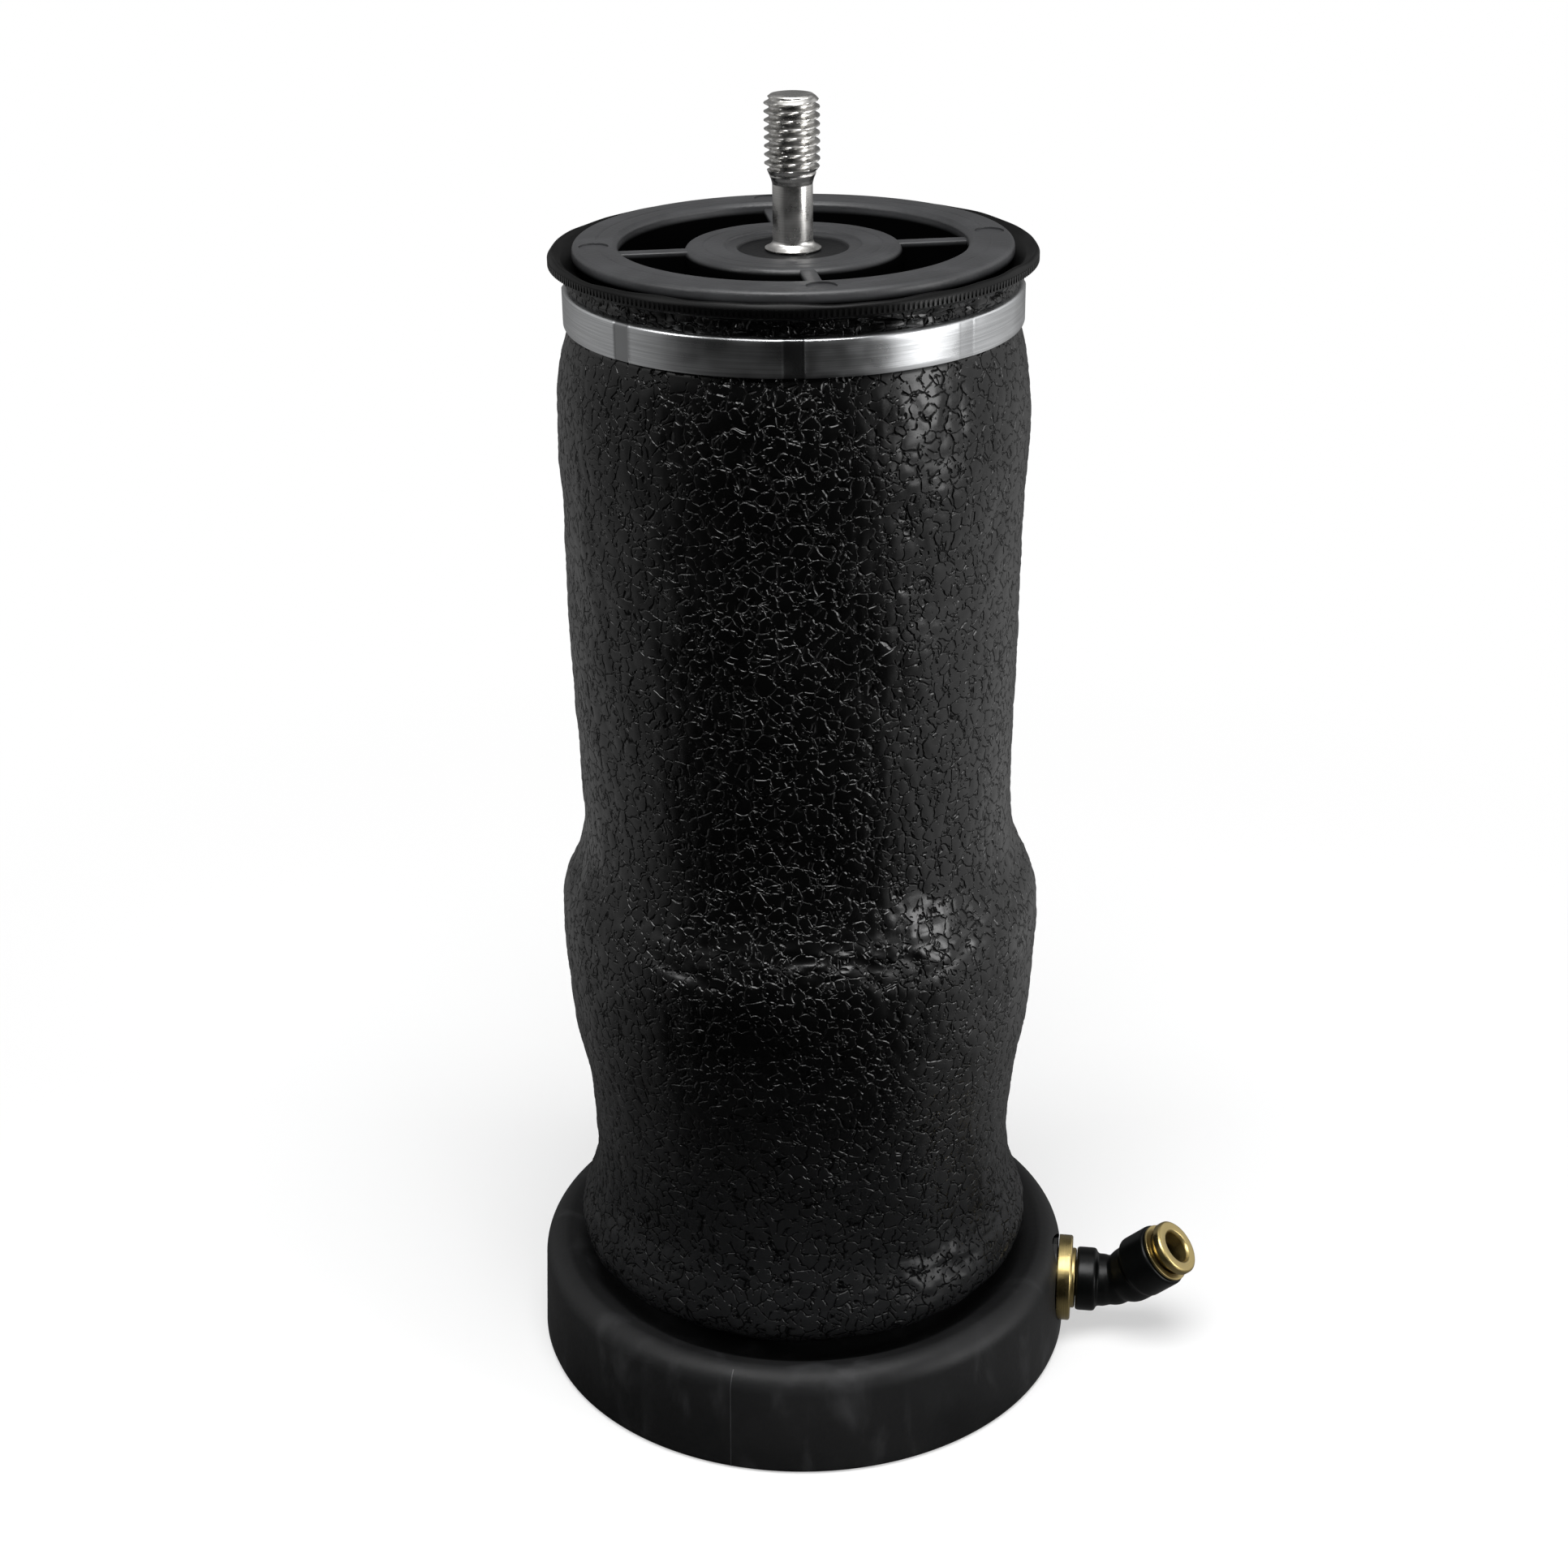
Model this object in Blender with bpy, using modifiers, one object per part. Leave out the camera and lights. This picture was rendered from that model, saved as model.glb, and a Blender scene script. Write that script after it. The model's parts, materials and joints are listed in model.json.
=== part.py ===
"""Air suspension spring: a rolling sleeve between a stud-mounted head and a dished base with an air elbow.

Metres, +Z up. The origin is the centre of the base's underside, and the air port points along +X.
"""

import math

import bmesh
import bpy
from mathutils import Matrix, Vector

# Clearances, broken edges and how far a cutter or a joined bar runs past a face
FIT = 0.0003
BAND_RIDE = 0.0009
EDGE = 0.0006
FINE_EDGE = 0.0004
SINK = 0.0010
PAST = 0.0030

# Base
FOOT_MARGIN = 0.0091
DRAFT = 0.0009
SHOULDER_R = 0.0045
FOOT_EDGE = 0.0010
BASE_H = 0.0225
DISH_DEPTH = 0.0060
DISH_RUN = 0.0105
BOSS_R = 0.0140
BOSS_H = 0.0040
POCKET_DEPTH = 0.0070
POCKET_INNER_R = 0.0180
RIM_WALL = 0.0055
BASE_RIBS = 8
BASE_RIB_WIDTH = 0.0030
SEAL_DEPTH = 0.0016

# Threaded inserts in the base
MOUNT_SPACING = 0.0520
MOUNT_INSERT_R = 0.0055
MOUNT_INSERT_LENGTH = 0.0120
MOUNT_THREAD_R = 0.0040
INSERT_END_WALL = 0.0015
INSERT_BOSS_WALL = 0.0030
CENTRE_INSERT_R = 0.0060
CENTRE_INSERT_LENGTH = 0.0130
INSERT_SINK = 0.0004

# Piston
PISTON_R = 0.0355
PISTON_WALL = 0.0035
PISTON_H = 0.0905
DECK_THICKNESS = 0.0060
COLUMN_R = 0.0090
PISTON_WEBS = 4
PISTON_WEB_WIDTH = 0.0025
WEB_RISE = 0.0060
SEAT_STEP = 0.0028
SEAT_TAPER = 0.0060
SEAT_LIP = 0.0009
SEAT_LIP_HEIGHT = 0.0015
AIR_HOLES = 6
AIR_HOLE_R = 0.0030
AIR_HOLE_RING_R = 0.0280

# Clamp bands
BAND_H = 0.0070
UPPER_BAND_WALL = 0.00125
UPPER_BAND_DROP = 0.0144
LOWER_BAND_WALL = 0.0020
BAND_EDGE = 0.0004
BAND_PLAY = 0.0007

# Sleeve
SLEEVE_WALL = 0.0030
ROLL_GAP = 0.0012
LEG_RIDE = 0.0015
UPPER_SQUEEZE = 0.0009
LOWER_SQUEEZE = 0.0003
LOBE_FLARE = 0.0038
LOBE_RISE = 0.0060
WAIST_RISE = 0.0250
LIP_FLARE = 0.0036
LIP_DROP = 0.0010
LIP_ROUND = 0.0014
LIP_H = 0.0022
LIP_TAPER = 0.0012

# Bead plate
SKIRT_R = 0.0382
RIM_PROUD = 0.0018
RIM_WIDTH = 0.0082
RIM_RADIUS = 0.0009
RIM_H = 0.0025
RIM_STEP = 0.0011
RIM_TAPER = 0.0013
POCKET_DRAFT = 0.0006
PLATE_TOP = 0.2335
PLATE_H = 0.0275
HUB_R = 0.0197
HUB_DROP = 0.0010
HUB_STEP_R = 0.0123
HUB_STEP = 0.00045
HUB_RECESS_R = 0.0100
HUB_RECESS = 0.0010
WEB_THICKNESS = 0.0060
PLATE_RIBS = 4
PLATE_RIB_WIDTH = 0.0029
RIB_DROP = 0.0003
PLATE_RIB_TURN = math.radians(15.5)
EJECTOR_R = 0.0027
EJECTOR_DEPTH = 0.00035
EJECTOR_INSET = 0.0040
NUT_RECESS_R = 0.0123
NUT_RECESS_H = 0.0080

# Stud, its nut, washer and seal
STUD_PROUD = 0.0255
STUD_CHAMFER = 0.0011
THREAD_R = 0.0050
THREAD_LENGTH = 0.0128
RUNOUT_LENGTH = 0.0022
SHANK_R = 0.00365
COLLAR_R = 0.0051
COLLAR_H = 0.0007
TANG_R = 0.0040
TANG_PROUD = 0.0006
NUT_FLATS = 0.0130
NUT_H = 0.0050
WASHER_R = 0.0110
WASHER_H = 0.0012
WASHER_EDGE = 0.0002
SEAL_SECTION_R = 0.00075

# Bumper and the bolt through it
BUMPER_H = 0.0467
BUMPER_FOOT_R = 0.0220
BUMPER_NECK_R = 0.0168
BUMPER_BELLY_R = 0.0198
BUMPER_NOSE_R = 0.0150
BUMPER_SHOULDER_R = 0.0162
BUMPER_WAIST_R = 0.0156
BUMPER_EDGE = 0.0022
BUMPER_WELL_R = 0.0095
BUMPER_PAD = 0.0060
BOLT_R = 0.0040
BOLT_HEAD_H = 0.0054
BUMPER_WASHER_R = 0.0090
BUMPER_WASHER_H = 0.0020

# Air port, adapter and elbow, measured outwards along +X
PORT_DROP = 0.0100
PORT_FACE_DEPTH = 0.0027
PORT_FACE_R = 0.0094
PORT_INSERT_R = 0.0058
PORT_INSERT_LENGTH = 0.0059
AIR_BORE_R = 0.0019
AIR_BORE_X = 0.0200
STEM_R = 0.0046
STEM_LENGTH = 0.0068
WASHER_SEAL_R = 0.0082
WASHER_SEAL_H = 0.0009
FLANGE_R = 0.00895
FLANGE_H = 0.0029
FLANGE_CHAMFER = 0.0008
NOSE_R = 0.0037
NOSE_BORE_R = 0.0020
NOSE_LENGTH = 0.0067
CLIP_OFFSET = 0.0011
CLIP_H = 0.0009
CLIP_INNER_R = 0.0032
CLIP_OUTER_R = 0.0049
CLIP_GAP = 0.0018
SWIVEL_SEAL_OFFSET = 0.0039
SWIVEL_SEAL_R = 0.00042
ELBOW_R = 0.00665
ELBOW_NECK_R = 0.0057
OUTLET_NECK_R = 0.0059
SHOULDER_RUN = 0.0012
HEEL_R = 0.0061
HEEL_DROP = 0.0006
HEEL_SHARE = 0.7
INLET_LENGTH = 0.0041
BEND_REACH = 0.0092
BEND_ANGLE = math.radians(45)
ELBOW_TURN = math.radians(15)

# Outlet of the elbow, measured outwards from the bend
TUBE_R = 0.0032
TUBE_BORE_R = 0.0034
COLLET_EASE = 0.0001
TUBE_STOP = 0.0020
GLAND_START = 0.0057
GLAND_R = 0.0052
GRAB_H = 0.0005
GRAB_ROOT_R = 0.0043
GRAB_SLOT = 0.0007
CARTRIDGE_START = 0.0095
CARTRIDGE_R = 0.0056
OUTLET_END = 0.0138
CARTRIDGE_LIP_R = 0.0062
CARTRIDGE_LIP_H = 0.0005
COLLET_R = 0.0058
COLLET_HEAD = 0.0017
COLLET_STEM_R = 0.0045
COLLET_TRAVEL = 0.0012

# Facets round each kind of piece
FINE = 48
MEDIUM = 32
SLIM = 24
SMALL = 18

parts = None
tools = None


def start():
    """Empties the scene and makes the two collections."""
    global parts, tools
    for obj in list(bpy.data.objects):
        bpy.data.objects.remove(obj)
    parts = bpy.data.collections.new("air_suspension_spring")
    tools = bpy.data.collections.new("cutters")
    for group in (parts, tools):
        bpy.context.scene.collection.children.link(group)


def finish_material(name, color, roughness, metallic=0.0):
    """A Principled material with one finish."""
    made = bpy.data.materials.new(name)
    made.use_nodes = True
    shader = made.node_tree.nodes["Principled BSDF"]
    shader.inputs["Base Color"].default_value = (*color, 1.0)
    shader.inputs["Roughness"].default_value = roughness
    shader.inputs["Metallic"].default_value = metallic
    return made


def turned(name, outline, facets, closed=True, place=None, cutter=False):
    """A turned solid about its own Z. The outline runs down its outside, to the axis or closed."""
    mesh = bpy.data.meshes.new(name)
    last = len(outline) - 1
    edges = [(i, i + 1) for i in range(last)]
    if closed:
        edges.append((last, 0))
    mesh.from_pydata([(r, 0.0, z) for r, z in outline], edges, [])
    obj = bpy.data.objects.new(name, mesh)
    spin = obj.modifiers.new("Turn", "SCREW")
    spin.angle = math.tau
    spin.steps = facets
    spin.render_steps = facets
    spin.use_merge_vertices = True
    spin.merge_threshold = 0.00001
    return place_object(obj, place, cutter)


def solid(name, bm, place=None, cutter=False):
    """An object from a bmesh, which is freed."""
    mesh = bpy.data.meshes.new(name)
    bm.to_mesh(mesh)
    bm.free()
    obj = bpy.data.objects.new(name, mesh)
    return place_object(obj, place, cutter)


def place_object(obj, place, cutter):
    """Links the object and puts it where it belongs. Cutters are hidden wires."""
    if place is not None:
        obj.matrix_basis = place
    if cutter:
        obj.display_type = "WIRE"
        obj.hide_render = True
        tools.objects.link(obj)
    else:
        parts.objects.link(obj)
    return obj


def add_box(bm, low, high, turn=0.0):
    """Adds a box between two corners, turned about Z."""
    size = [b - a for a, b in zip(low, high)]
    middle = [(a + b) / 2 for a, b in zip(low, high)]
    matrix = Matrix.Rotation(turn, 4, "Z") @ Matrix.Translation(middle) @ Matrix.Diagonal((*size, 1.0))
    bmesh.ops.create_cube(bm, size=1.0, matrix=matrix)


def add_rod(bm, radius, low, high, x=0.0, y=0.0, sides=SMALL):
    """Adds an upright cylinder."""
    matrix = Matrix.Translation((x, y, (low + high) / 2))
    bmesh.ops.create_cone(bm, cap_ends=True, segments=sides, radius1=radius, radius2=radius,
                          depth=high - low, matrix=matrix)


def combine(obj, other, operation="DIFFERENCE"):
    """A Boolean with another object."""
    step = obj.modifiers.new(operation.title(), "BOOLEAN")
    step.operation = operation
    step.object = other
    step.solver = "EXACT"


def ring(inner, outer, low, high, edge=0.0):
    """Outline of a plain ring, with its outer corners broken by edge."""
    if not edge:
        return [(outer, high), (outer, low), (inner, low), (inner, high)]
    return [(outer - edge, high), (outer, high - edge), (outer, low + edge), (outer - edge, low),
            (inner, low), (inner, high)]


def arc(centre_r, centre_z, radius, first, last, steps):
    """Points of an arc in the turning plane, angles in degrees."""
    points = []
    for i in range(steps + 1):
        angle = math.radians(first + (last - first) * i / steps)
        points.append((centre_r + radius * math.cos(angle), centre_z + radius * math.sin(angle)))
    return points


def seal_ring(name, centre_r, centre_z, section_r, facets, place=None):
    """A round-section seal."""
    return turned(name, arc(centre_r, centre_z, section_r, 90, -210, 5), facets, place=place)


def along_port():
    """Local Z becomes world X on the port's height, so that local z is world x."""
    return Matrix.Translation((0, 0, PORT_Z)) @ Matrix.Rotation(math.radians(90), 4, "Y")


def outlet_direction():
    """The way that the elbow's outlet points at rest."""
    across = math.sin(BEND_ANGLE)
    return Vector((math.cos(BEND_ANGLE), -across * math.sin(ELBOW_TURN), across * math.cos(ELBOW_TURN)))


def along_outlet():
    """Local Z runs out of the elbow, from the bend."""
    turn = outlet_direction().to_track_quat("Z", "Y").to_matrix().to_4x4()
    return Matrix.Translation((BEND_X, 0, PORT_Z)) @ turn


# Heights and radii that several pieces share
SEAT_R = PISTON_R + SEAT_STEP
SLEEVE_R = PISTON_R + FIT + 2 * SLEEVE_WALL + ROLL_GAP
LOBE_R = SLEEVE_R + LOBE_FLARE
LOBE_Z = BASE_H + LOBE_RISE
FOOT_R = LOBE_R + FOOT_MARGIN
CREST_R = FOOT_R - DRAFT - SHOULDER_R
FLOOR_R = CREST_R - DISH_RUN
FLOOR_Z = BASE_H - DISH_DEPTH
SEAT_Z = FLOOR_Z + FIT
PISTON_TOP = FLOOR_Z + PISTON_H
BOSS_TOP = FLOOR_Z + BOSS_H
BAND_LEDGE = PISTON_TOP - SEAT_LIP_HEIGHT - FIT
LOWER_BAND_TOP = BAND_LEDGE - BAND_PLAY
LOWER_BAND_MID = LOWER_BAND_TOP - BAND_H / 2
LOWER_BAND_INNER_R = SEAT_R + FIT + SLEEVE_WALL - LOWER_SQUEEZE + FIT
WAIST_Z = LOWER_BAND_MID + WAIST_RISE
BULGE_R = LOWER_BAND_INNER_R + LOWER_BAND_WALL + BAND_RIDE + SLEEVE_WALL
UPPER_GRIP_R = SKIRT_R + FIT + SLEEVE_WALL - UPPER_SQUEEZE
HEAD_LEG_R = SKIRT_R + FIT + SLEEVE_WALL + LEG_RIDE
LIP_R = UPPER_GRIP_R + LIP_FLARE
LIP_TOP = PLATE_TOP - LIP_DROP
UPPER_BAND_BOTTOM = PLATE_TOP - UPPER_BAND_DROP
UPPER_BAND_TOP = UPPER_BAND_BOTTOM + BAND_H
PLATE_R = SKIRT_R + RIM_PROUD
RING_INNER_R = PLATE_R - RIM_WIDTH
EJECTOR_RING_R = PLATE_R - EJECTOR_INSET
STUD_TOP = PLATE_TOP + STUD_PROUD
PLATE_BOTTOM = PLATE_TOP - PLATE_H
PLATE_FLOOR = PLATE_BOTTOM + WEB_THICKNESS
RIM_LOW = PLATE_TOP - RIM_H
HUB_TOP = PLATE_TOP - HUB_DROP
NUT_CEILING = PLATE_BOTTOM + NUT_RECESS_H
SEAL_POCKET_R = TANG_R + 3 * FIT + 2 * SEAL_SECTION_R
SEAL_POCKET_TOP = NUT_CEILING + FIT + 2 * SEAL_SECTION_R
BUMPER_FOOT = PISTON_TOP + FIT
BUMPER_TOP = BUMPER_FOOT + BUMPER_H
BUMPER_SEAT = BUMPER_FOOT + BUMPER_PAD
PORT_Z = BASE_H - PORT_DROP
PORT_FACE_X = FOOT_R - PORT_FACE_DEPTH
FLANGE_X = PORT_FACE_X + FIT + WASHER_SEAL_H + FIT
NOSE_X = FLANGE_X + FLANGE_H
INLET_X = NOSE_X + FIT
CLIP_X = NOSE_X + CLIP_OFFSET
SWIVEL_SEAL_X = NOSE_X + SWIVEL_SEAL_OFFSET
BEND_X = NOSE_X + BEND_REACH
SOCKET_X = NOSE_X + NOSE_LENGTH + FIT
COLLET_SEAT = OUTLET_END + FIT + CARTRIDGE_LIP_H + FIT + COLLET_TRAVEL


def base_bowl():
    """The moulded base: dished top, centre boss, ribbed underside, port and insert holes."""
    outline = [(0, BOSS_TOP), (BOSS_R - EDGE, BOSS_TOP), (BOSS_R, BOSS_TOP - EDGE), (BOSS_R, FLOOR_Z),
               (FLOOR_R, FLOOR_Z), (FLOOR_R + 0.4 * DISH_RUN, FLOOR_Z + 0.30 * DISH_DEPTH),
               (FLOOR_R + 0.75 * DISH_RUN, FLOOR_Z + 0.78 * DISH_DEPTH)]
    outline += arc(CREST_R, BASE_H - SHOULDER_R, SHOULDER_R, 90, 0, 5)
    outline += [(FOOT_R, FOOT_EDGE), (FOOT_R - FOOT_EDGE, 0.0), (0, 0)]
    base = turned("base_bowl", outline, FINE, closed=False)

    pocket_outer_r = FOOT_R - RIM_WALL
    half_facet = Matrix.Rotation(math.pi / FINE, 4, "Z")
    pockets = turned("underside_pockets", ring(POCKET_INNER_R, pocket_outer_r, -SINK, POCKET_DEPTH), FINE,
                     place=half_facet, cutter=True)
    keep = bmesh.new()
    for i in range(BASE_RIBS // 2):
        reach = FOOT_R + PAST
        add_box(keep, (-reach, -BASE_RIB_WIDTH / 2, -PAST), (reach, BASE_RIB_WIDTH / 2, POCKET_DEPTH + PAST),
                turn=math.tau * i / BASE_RIBS)
    ribs = solid("underside_ribs", keep, cutter=True)
    blocks = bmesh.new()
    for side in (-1, 1):
        add_rod(blocks, MOUNT_INSERT_R + INSERT_BOSS_WALL, -PAST, POCKET_DEPTH + SINK,
                y=side * MOUNT_SPACING / 2)
    half = PORT_INSERT_R + INSERT_BOSS_WALL
    block_x = PORT_FACE_X - PORT_INSERT_LENGTH - INSERT_BOSS_WALL
    add_box(blocks, (block_x, -half, -PAST), (FOOT_R + SINK, half, POCKET_DEPTH + SINK))
    bosses = solid("underside_bosses", blocks, cutter=True)
    combine(pockets, ribs)
    combine(pockets, bosses)
    combine(base, pockets)

    holes = bmesh.new()
    for side in (-1, 1):
        add_rod(holes, MOUNT_INSERT_R + FIT, -SINK, MOUNT_INSERT_LENGTH + INSERT_SINK + FIT,
                y=side * MOUNT_SPACING / 2)
    add_rod(holes, CENTRE_INSERT_R + FIT, BOSS_TOP - INSERT_SINK - CENTRE_INSERT_LENGTH - FIT, BOSS_TOP + SINK)
    combine(base, solid("insert_holes", holes, cutter=True))

    seal_r = PISTON_R - PISTON_WALL / 2
    groove = ring(seal_r - SEAL_SECTION_R - FIT, seal_r + SEAL_SECTION_R + FIT, FLOOR_Z - SEAL_DEPTH,
                  FLOOR_Z + SINK)
    combine(base, turned("seal_groove", groove, FINE, place=half_facet, cutter=True))

    insert_end = PORT_FACE_X - INSERT_SINK - PORT_INSERT_LENGTH - FIT
    port = [(0, FOOT_R + PAST), (PORT_FACE_R, FOOT_R + PAST), (PORT_FACE_R, PORT_FACE_X),
            (PORT_INSERT_R + FIT, PORT_FACE_X), (PORT_INSERT_R + FIT, insert_end), (AIR_BORE_R, insert_end),
            (AIR_BORE_R, AIR_BORE_X - AIR_BORE_R), (0, AIR_BORE_X - AIR_BORE_R)]
    combine(base, turned("port_hole", port, SMALL, closed=False, place=along_port(), cutter=True))
    riser = bmesh.new()
    add_rod(riser, AIR_BORE_R + FINE_EDGE, PORT_Z, FLOOR_Z + SINK, x=AIR_BORE_X, sides=16)
    combine(base, solid("air_riser", riser, cutter=True))
    return base


def mount_insert(name, side):
    """A threaded insert in the underside, blind at its top."""
    low = INSERT_SINK
    high = low + MOUNT_INSERT_LENGTH
    floor = high - INSERT_END_WALL
    outline = [(0, high), (MOUNT_INSERT_R, high), (MOUNT_INSERT_R, low), (MOUNT_THREAD_R, low),
               (MOUNT_THREAD_R, floor), (0, floor)]
    return turned(name, outline, SMALL, closed=False,
                  place=Matrix.Translation((0, side * MOUNT_SPACING / 2, 0)))


def centre_insert():
    """The insert in the centre boss that takes the long bolt."""
    high = BOSS_TOP - INSERT_SINK
    low = high - CENTRE_INSERT_LENGTH
    return turned("centre_insert", ring(BOLT_R + FIT, CENTRE_INSERT_R, low, high), SMALL)


def piston():
    """The moulded piston: an inverted cup with a centre column, webs, an air-holed deck and a band seat."""
    inner_r = PISTON_R - PISTON_WALL
    deck = PISTON_TOP - DECK_THICKNESS
    lip_r = SEAT_R + SEAT_LIP
    seat_low = LOWER_BAND_TOP - BAND_H
    bore_r = BOLT_R + FIT
    outline = [(bore_r, PISTON_TOP), (lip_r - EDGE, PISTON_TOP), (lip_r, PISTON_TOP - EDGE),
               (lip_r, BAND_LEDGE + FIT), (SEAT_R, BAND_LEDGE), (SEAT_R, seat_low),
               (PISTON_R, seat_low - SEAT_TAPER), (PISTON_R, SEAT_Z + EDGE), (PISTON_R - EDGE, SEAT_Z), (inner_r, SEAT_Z), (inner_r, deck),
               (COLUMN_R, deck), (COLUMN_R, BOSS_TOP + FIT), (bore_r, BOSS_TOP + FIT)]
    cup = turned("piston", outline, MEDIUM)
    webs = bmesh.new()
    for i in range(PISTON_WEBS):
        add_box(webs, (COLUMN_R - SINK, -PISTON_WEB_WIDTH / 2, BOSS_TOP + WEB_RISE),
                (inner_r + SINK, PISTON_WEB_WIDTH / 2, deck + SINK),
                turn=math.tau * (i + 0.5) / PISTON_WEBS)
    combine(cup, solid("piston_webs", webs, cutter=True), "UNION")
    holes = bmesh.new()
    for i in range(AIR_HOLES):
        angle = math.tau * i / AIR_HOLES
        add_rod(holes, AIR_HOLE_R, deck - SINK, PISTON_TOP + SINK, x=AIR_HOLE_RING_R * math.cos(angle),
                y=AIR_HOLE_RING_R * math.sin(angle), sides=12)
    combine(cup, solid("deck_air_holes", holes, cutter=True))
    return cup


def piston_seal():
    """The seal under the piston's wall."""
    return seal_ring("piston_seal", PISTON_R - PISTON_WALL / 2, FLOOR_Z - SEAL_DEPTH + FIT + SEAL_SECTION_R,
                     SEAL_SECTION_R, MEDIUM)


def bumper():
    """The hollow rubber bumper that stops the stroke."""
    rise = BUMPER_TOP - BUMPER_FOOT
    outline = [(BUMPER_WELL_R, BUMPER_TOP), (BUMPER_NOSE_R - BUMPER_EDGE, BUMPER_TOP),
               (BUMPER_NOSE_R, BUMPER_TOP - BUMPER_EDGE), (BUMPER_SHOULDER_R, BUMPER_FOOT + 0.82 * rise),
               (BUMPER_WAIST_R, BUMPER_FOOT + 0.70 * rise), (BUMPER_BELLY_R, BUMPER_FOOT + 0.56 * rise),
               (BUMPER_BELLY_R, BUMPER_FOOT + 0.48 * rise), (BUMPER_NECK_R, BUMPER_FOOT + 0.32 * rise),
               (BUMPER_FOOT_R, BUMPER_FOOT + 0.18 * rise), (BUMPER_FOOT_R, BUMPER_FOOT),
               (BOLT_R + FIT, BUMPER_FOOT), (BOLT_R + FIT, BUMPER_SEAT), (BUMPER_WELL_R, BUMPER_SEAT)]
    return turned("bumper", outline, SLIM)


def bumper_washer():
    """The washer in the bumper's well."""
    low = BUMPER_SEAT + FIT
    outline = ring(BOLT_R + FIT, BUMPER_WASHER_R, low, low + BUMPER_WASHER_H, WASHER_EDGE)
    return turned("bumper_washer", outline, SMALL)


def centre_bolt():
    """The long bolt that holds bumper, piston and base together."""
    seat = BUMPER_SEAT + FIT + BUMPER_WASHER_H + FIT
    tip = BOSS_TOP - INSERT_SINK - CENTRE_INSERT_LENGTH + FINE_EDGE
    head_r = NUT_FLATS / 2 / math.cos(math.pi / 6)
    bolt = turned("centre_bolt", [(0, seat + BOLT_HEAD_H / 2), (BOLT_R, seat + BOLT_HEAD_H / 2),
                                  (BOLT_R, tip + EDGE), (BOLT_R - EDGE, tip), (0, tip)], SMALL, closed=False)
    head = bmesh.new()
    add_rod(head, head_r, seat, seat + BOLT_HEAD_H, sides=6)
    combine(bolt, solid("bolt_head", head, cutter=True), "UNION")
    return bolt


def lower_clamp_band():
    """The band that squeezes the sleeve's inner end onto the piston."""
    return turned("lower_clamp_band", ring(LOWER_BAND_INNER_R, LOWER_BAND_INNER_R + LOWER_BAND_WALL,
                                           LOWER_BAND_TOP - BAND_H, LOWER_BAND_TOP, BAND_EDGE), MEDIUM)


def upper_clamp_band():
    """The band that squeezes the sleeve's upper end onto the bead plate."""
    inner = UPPER_GRIP_R + FIT
    return turned("upper_clamp_band", ring(inner, inner + UPPER_BAND_WALL, UPPER_BAND_BOTTOM,
                                           UPPER_BAND_TOP, BAND_EDGE), FINE)


def outer_leg():
    """The sleeve's outer leg from under the upper band to the lobe, as radius and height."""
    top = UPPER_BAND_BOTTOM - FIT
    fall = top - WAIST_Z
    beside_skirt = ((0.03, -0.0013), (0.09, -0.0001), (0.19, 0.0006))
    below_skirt = ((0.36, 0.0002), (0.75, -0.0003), (1.0, -0.0010))
    points = [(HEAD_LEG_R + proud, top - share * fall) for share, proud in beside_skirt]
    points += [(SLEEVE_R + proud, top - share * fall) for share, proud in below_skirt]
    swell = BULGE_R - SLEEVE_R
    bulge = ((0.0165, 0.02), (0.0115, 0.36), (0.0075, 0.74), (0.0032, 0.96), (-0.0030, 1.0), (-0.0130, 0.90),
             (-0.0220, 0.77), (-0.0295, 0.50), (-0.0370, 0.22), (-0.0520, -0.01))
    points += [(SLEEVE_R + share * swell, LOWER_BAND_MID + height) for height, share in bulge]
    flare = LOBE_R - SLEEVE_R
    lobe = ((0.0125, 0.06), (0.0078, 0.38), (0.0036, 0.82))
    points += [(SLEEVE_R + share * flare, LOBE_Z + height) for height, share in lobe]
    return points


def sleeve():
    """The rubber sleeve: flared lip, clamped neck, outer leg, rolled lobe and inner leg to its seat."""
    inner_r = PISTON_R + FIT
    seat_r = SEAT_R + FIT
    seat_low = LOWER_BAND_TOP - BAND_H
    grip_r = LOWER_BAND_INNER_R - FIT
    lobe_r = (LOBE_R - inner_r) / 2
    lobe_centre = (LOBE_R + inner_r) / 2
    neck = UPPER_BAND_TOP + FIT
    taper_low = seat_low - SEAT_TAPER - SINK
    outline = arc(LIP_R - LIP_ROUND, LIP_TOP - LIP_ROUND, LIP_ROUND, 90, 0, 3)
    outline += [(LIP_R, LIP_TOP - LIP_H), (LIP_R - LIP_TAPER, LIP_TOP - LIP_H - LIP_TAPER),
                (UPPER_GRIP_R + EDGE, neck + EDGE), (UPPER_GRIP_R, neck), (UPPER_GRIP_R, UPPER_BAND_BOTTOM - FIT)]
    leg = outer_leg()
    outline += leg
    outline += arc(lobe_centre, LOBE_Z, lobe_r, 0, -180, 6)
    outline += [(inner_r, taper_low), (seat_r, seat_low), (seat_r, BAND_LEDGE - FIT),
                (grip_r, BAND_LEDGE - FIT), (grip_r, seat_low), (inner_r + SLEEVE_WALL, taper_low)]
    outline += arc(lobe_centre, LOBE_Z, lobe_r - SLEEVE_WALL, 180, 360, 4)
    outline += [(r - SLEEVE_WALL, z) for r, z in reversed(leg[::2])]
    outline += [(SKIRT_R + FIT, UPPER_BAND_BOTTOM), (SKIRT_R + FIT, RIM_LOW - RIM_STEP - RIM_TAPER - FIT),
                (PLATE_R, RIM_LOW - RIM_STEP), (LIP_R - 2 * LIP_ROUND, RIM_LOW - FINE_EDGE),
                (LIP_R - 1.5 * LIP_ROUND, LIP_TOP - EDGE)]
    return turned("sleeve", outline, MEDIUM)


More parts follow.
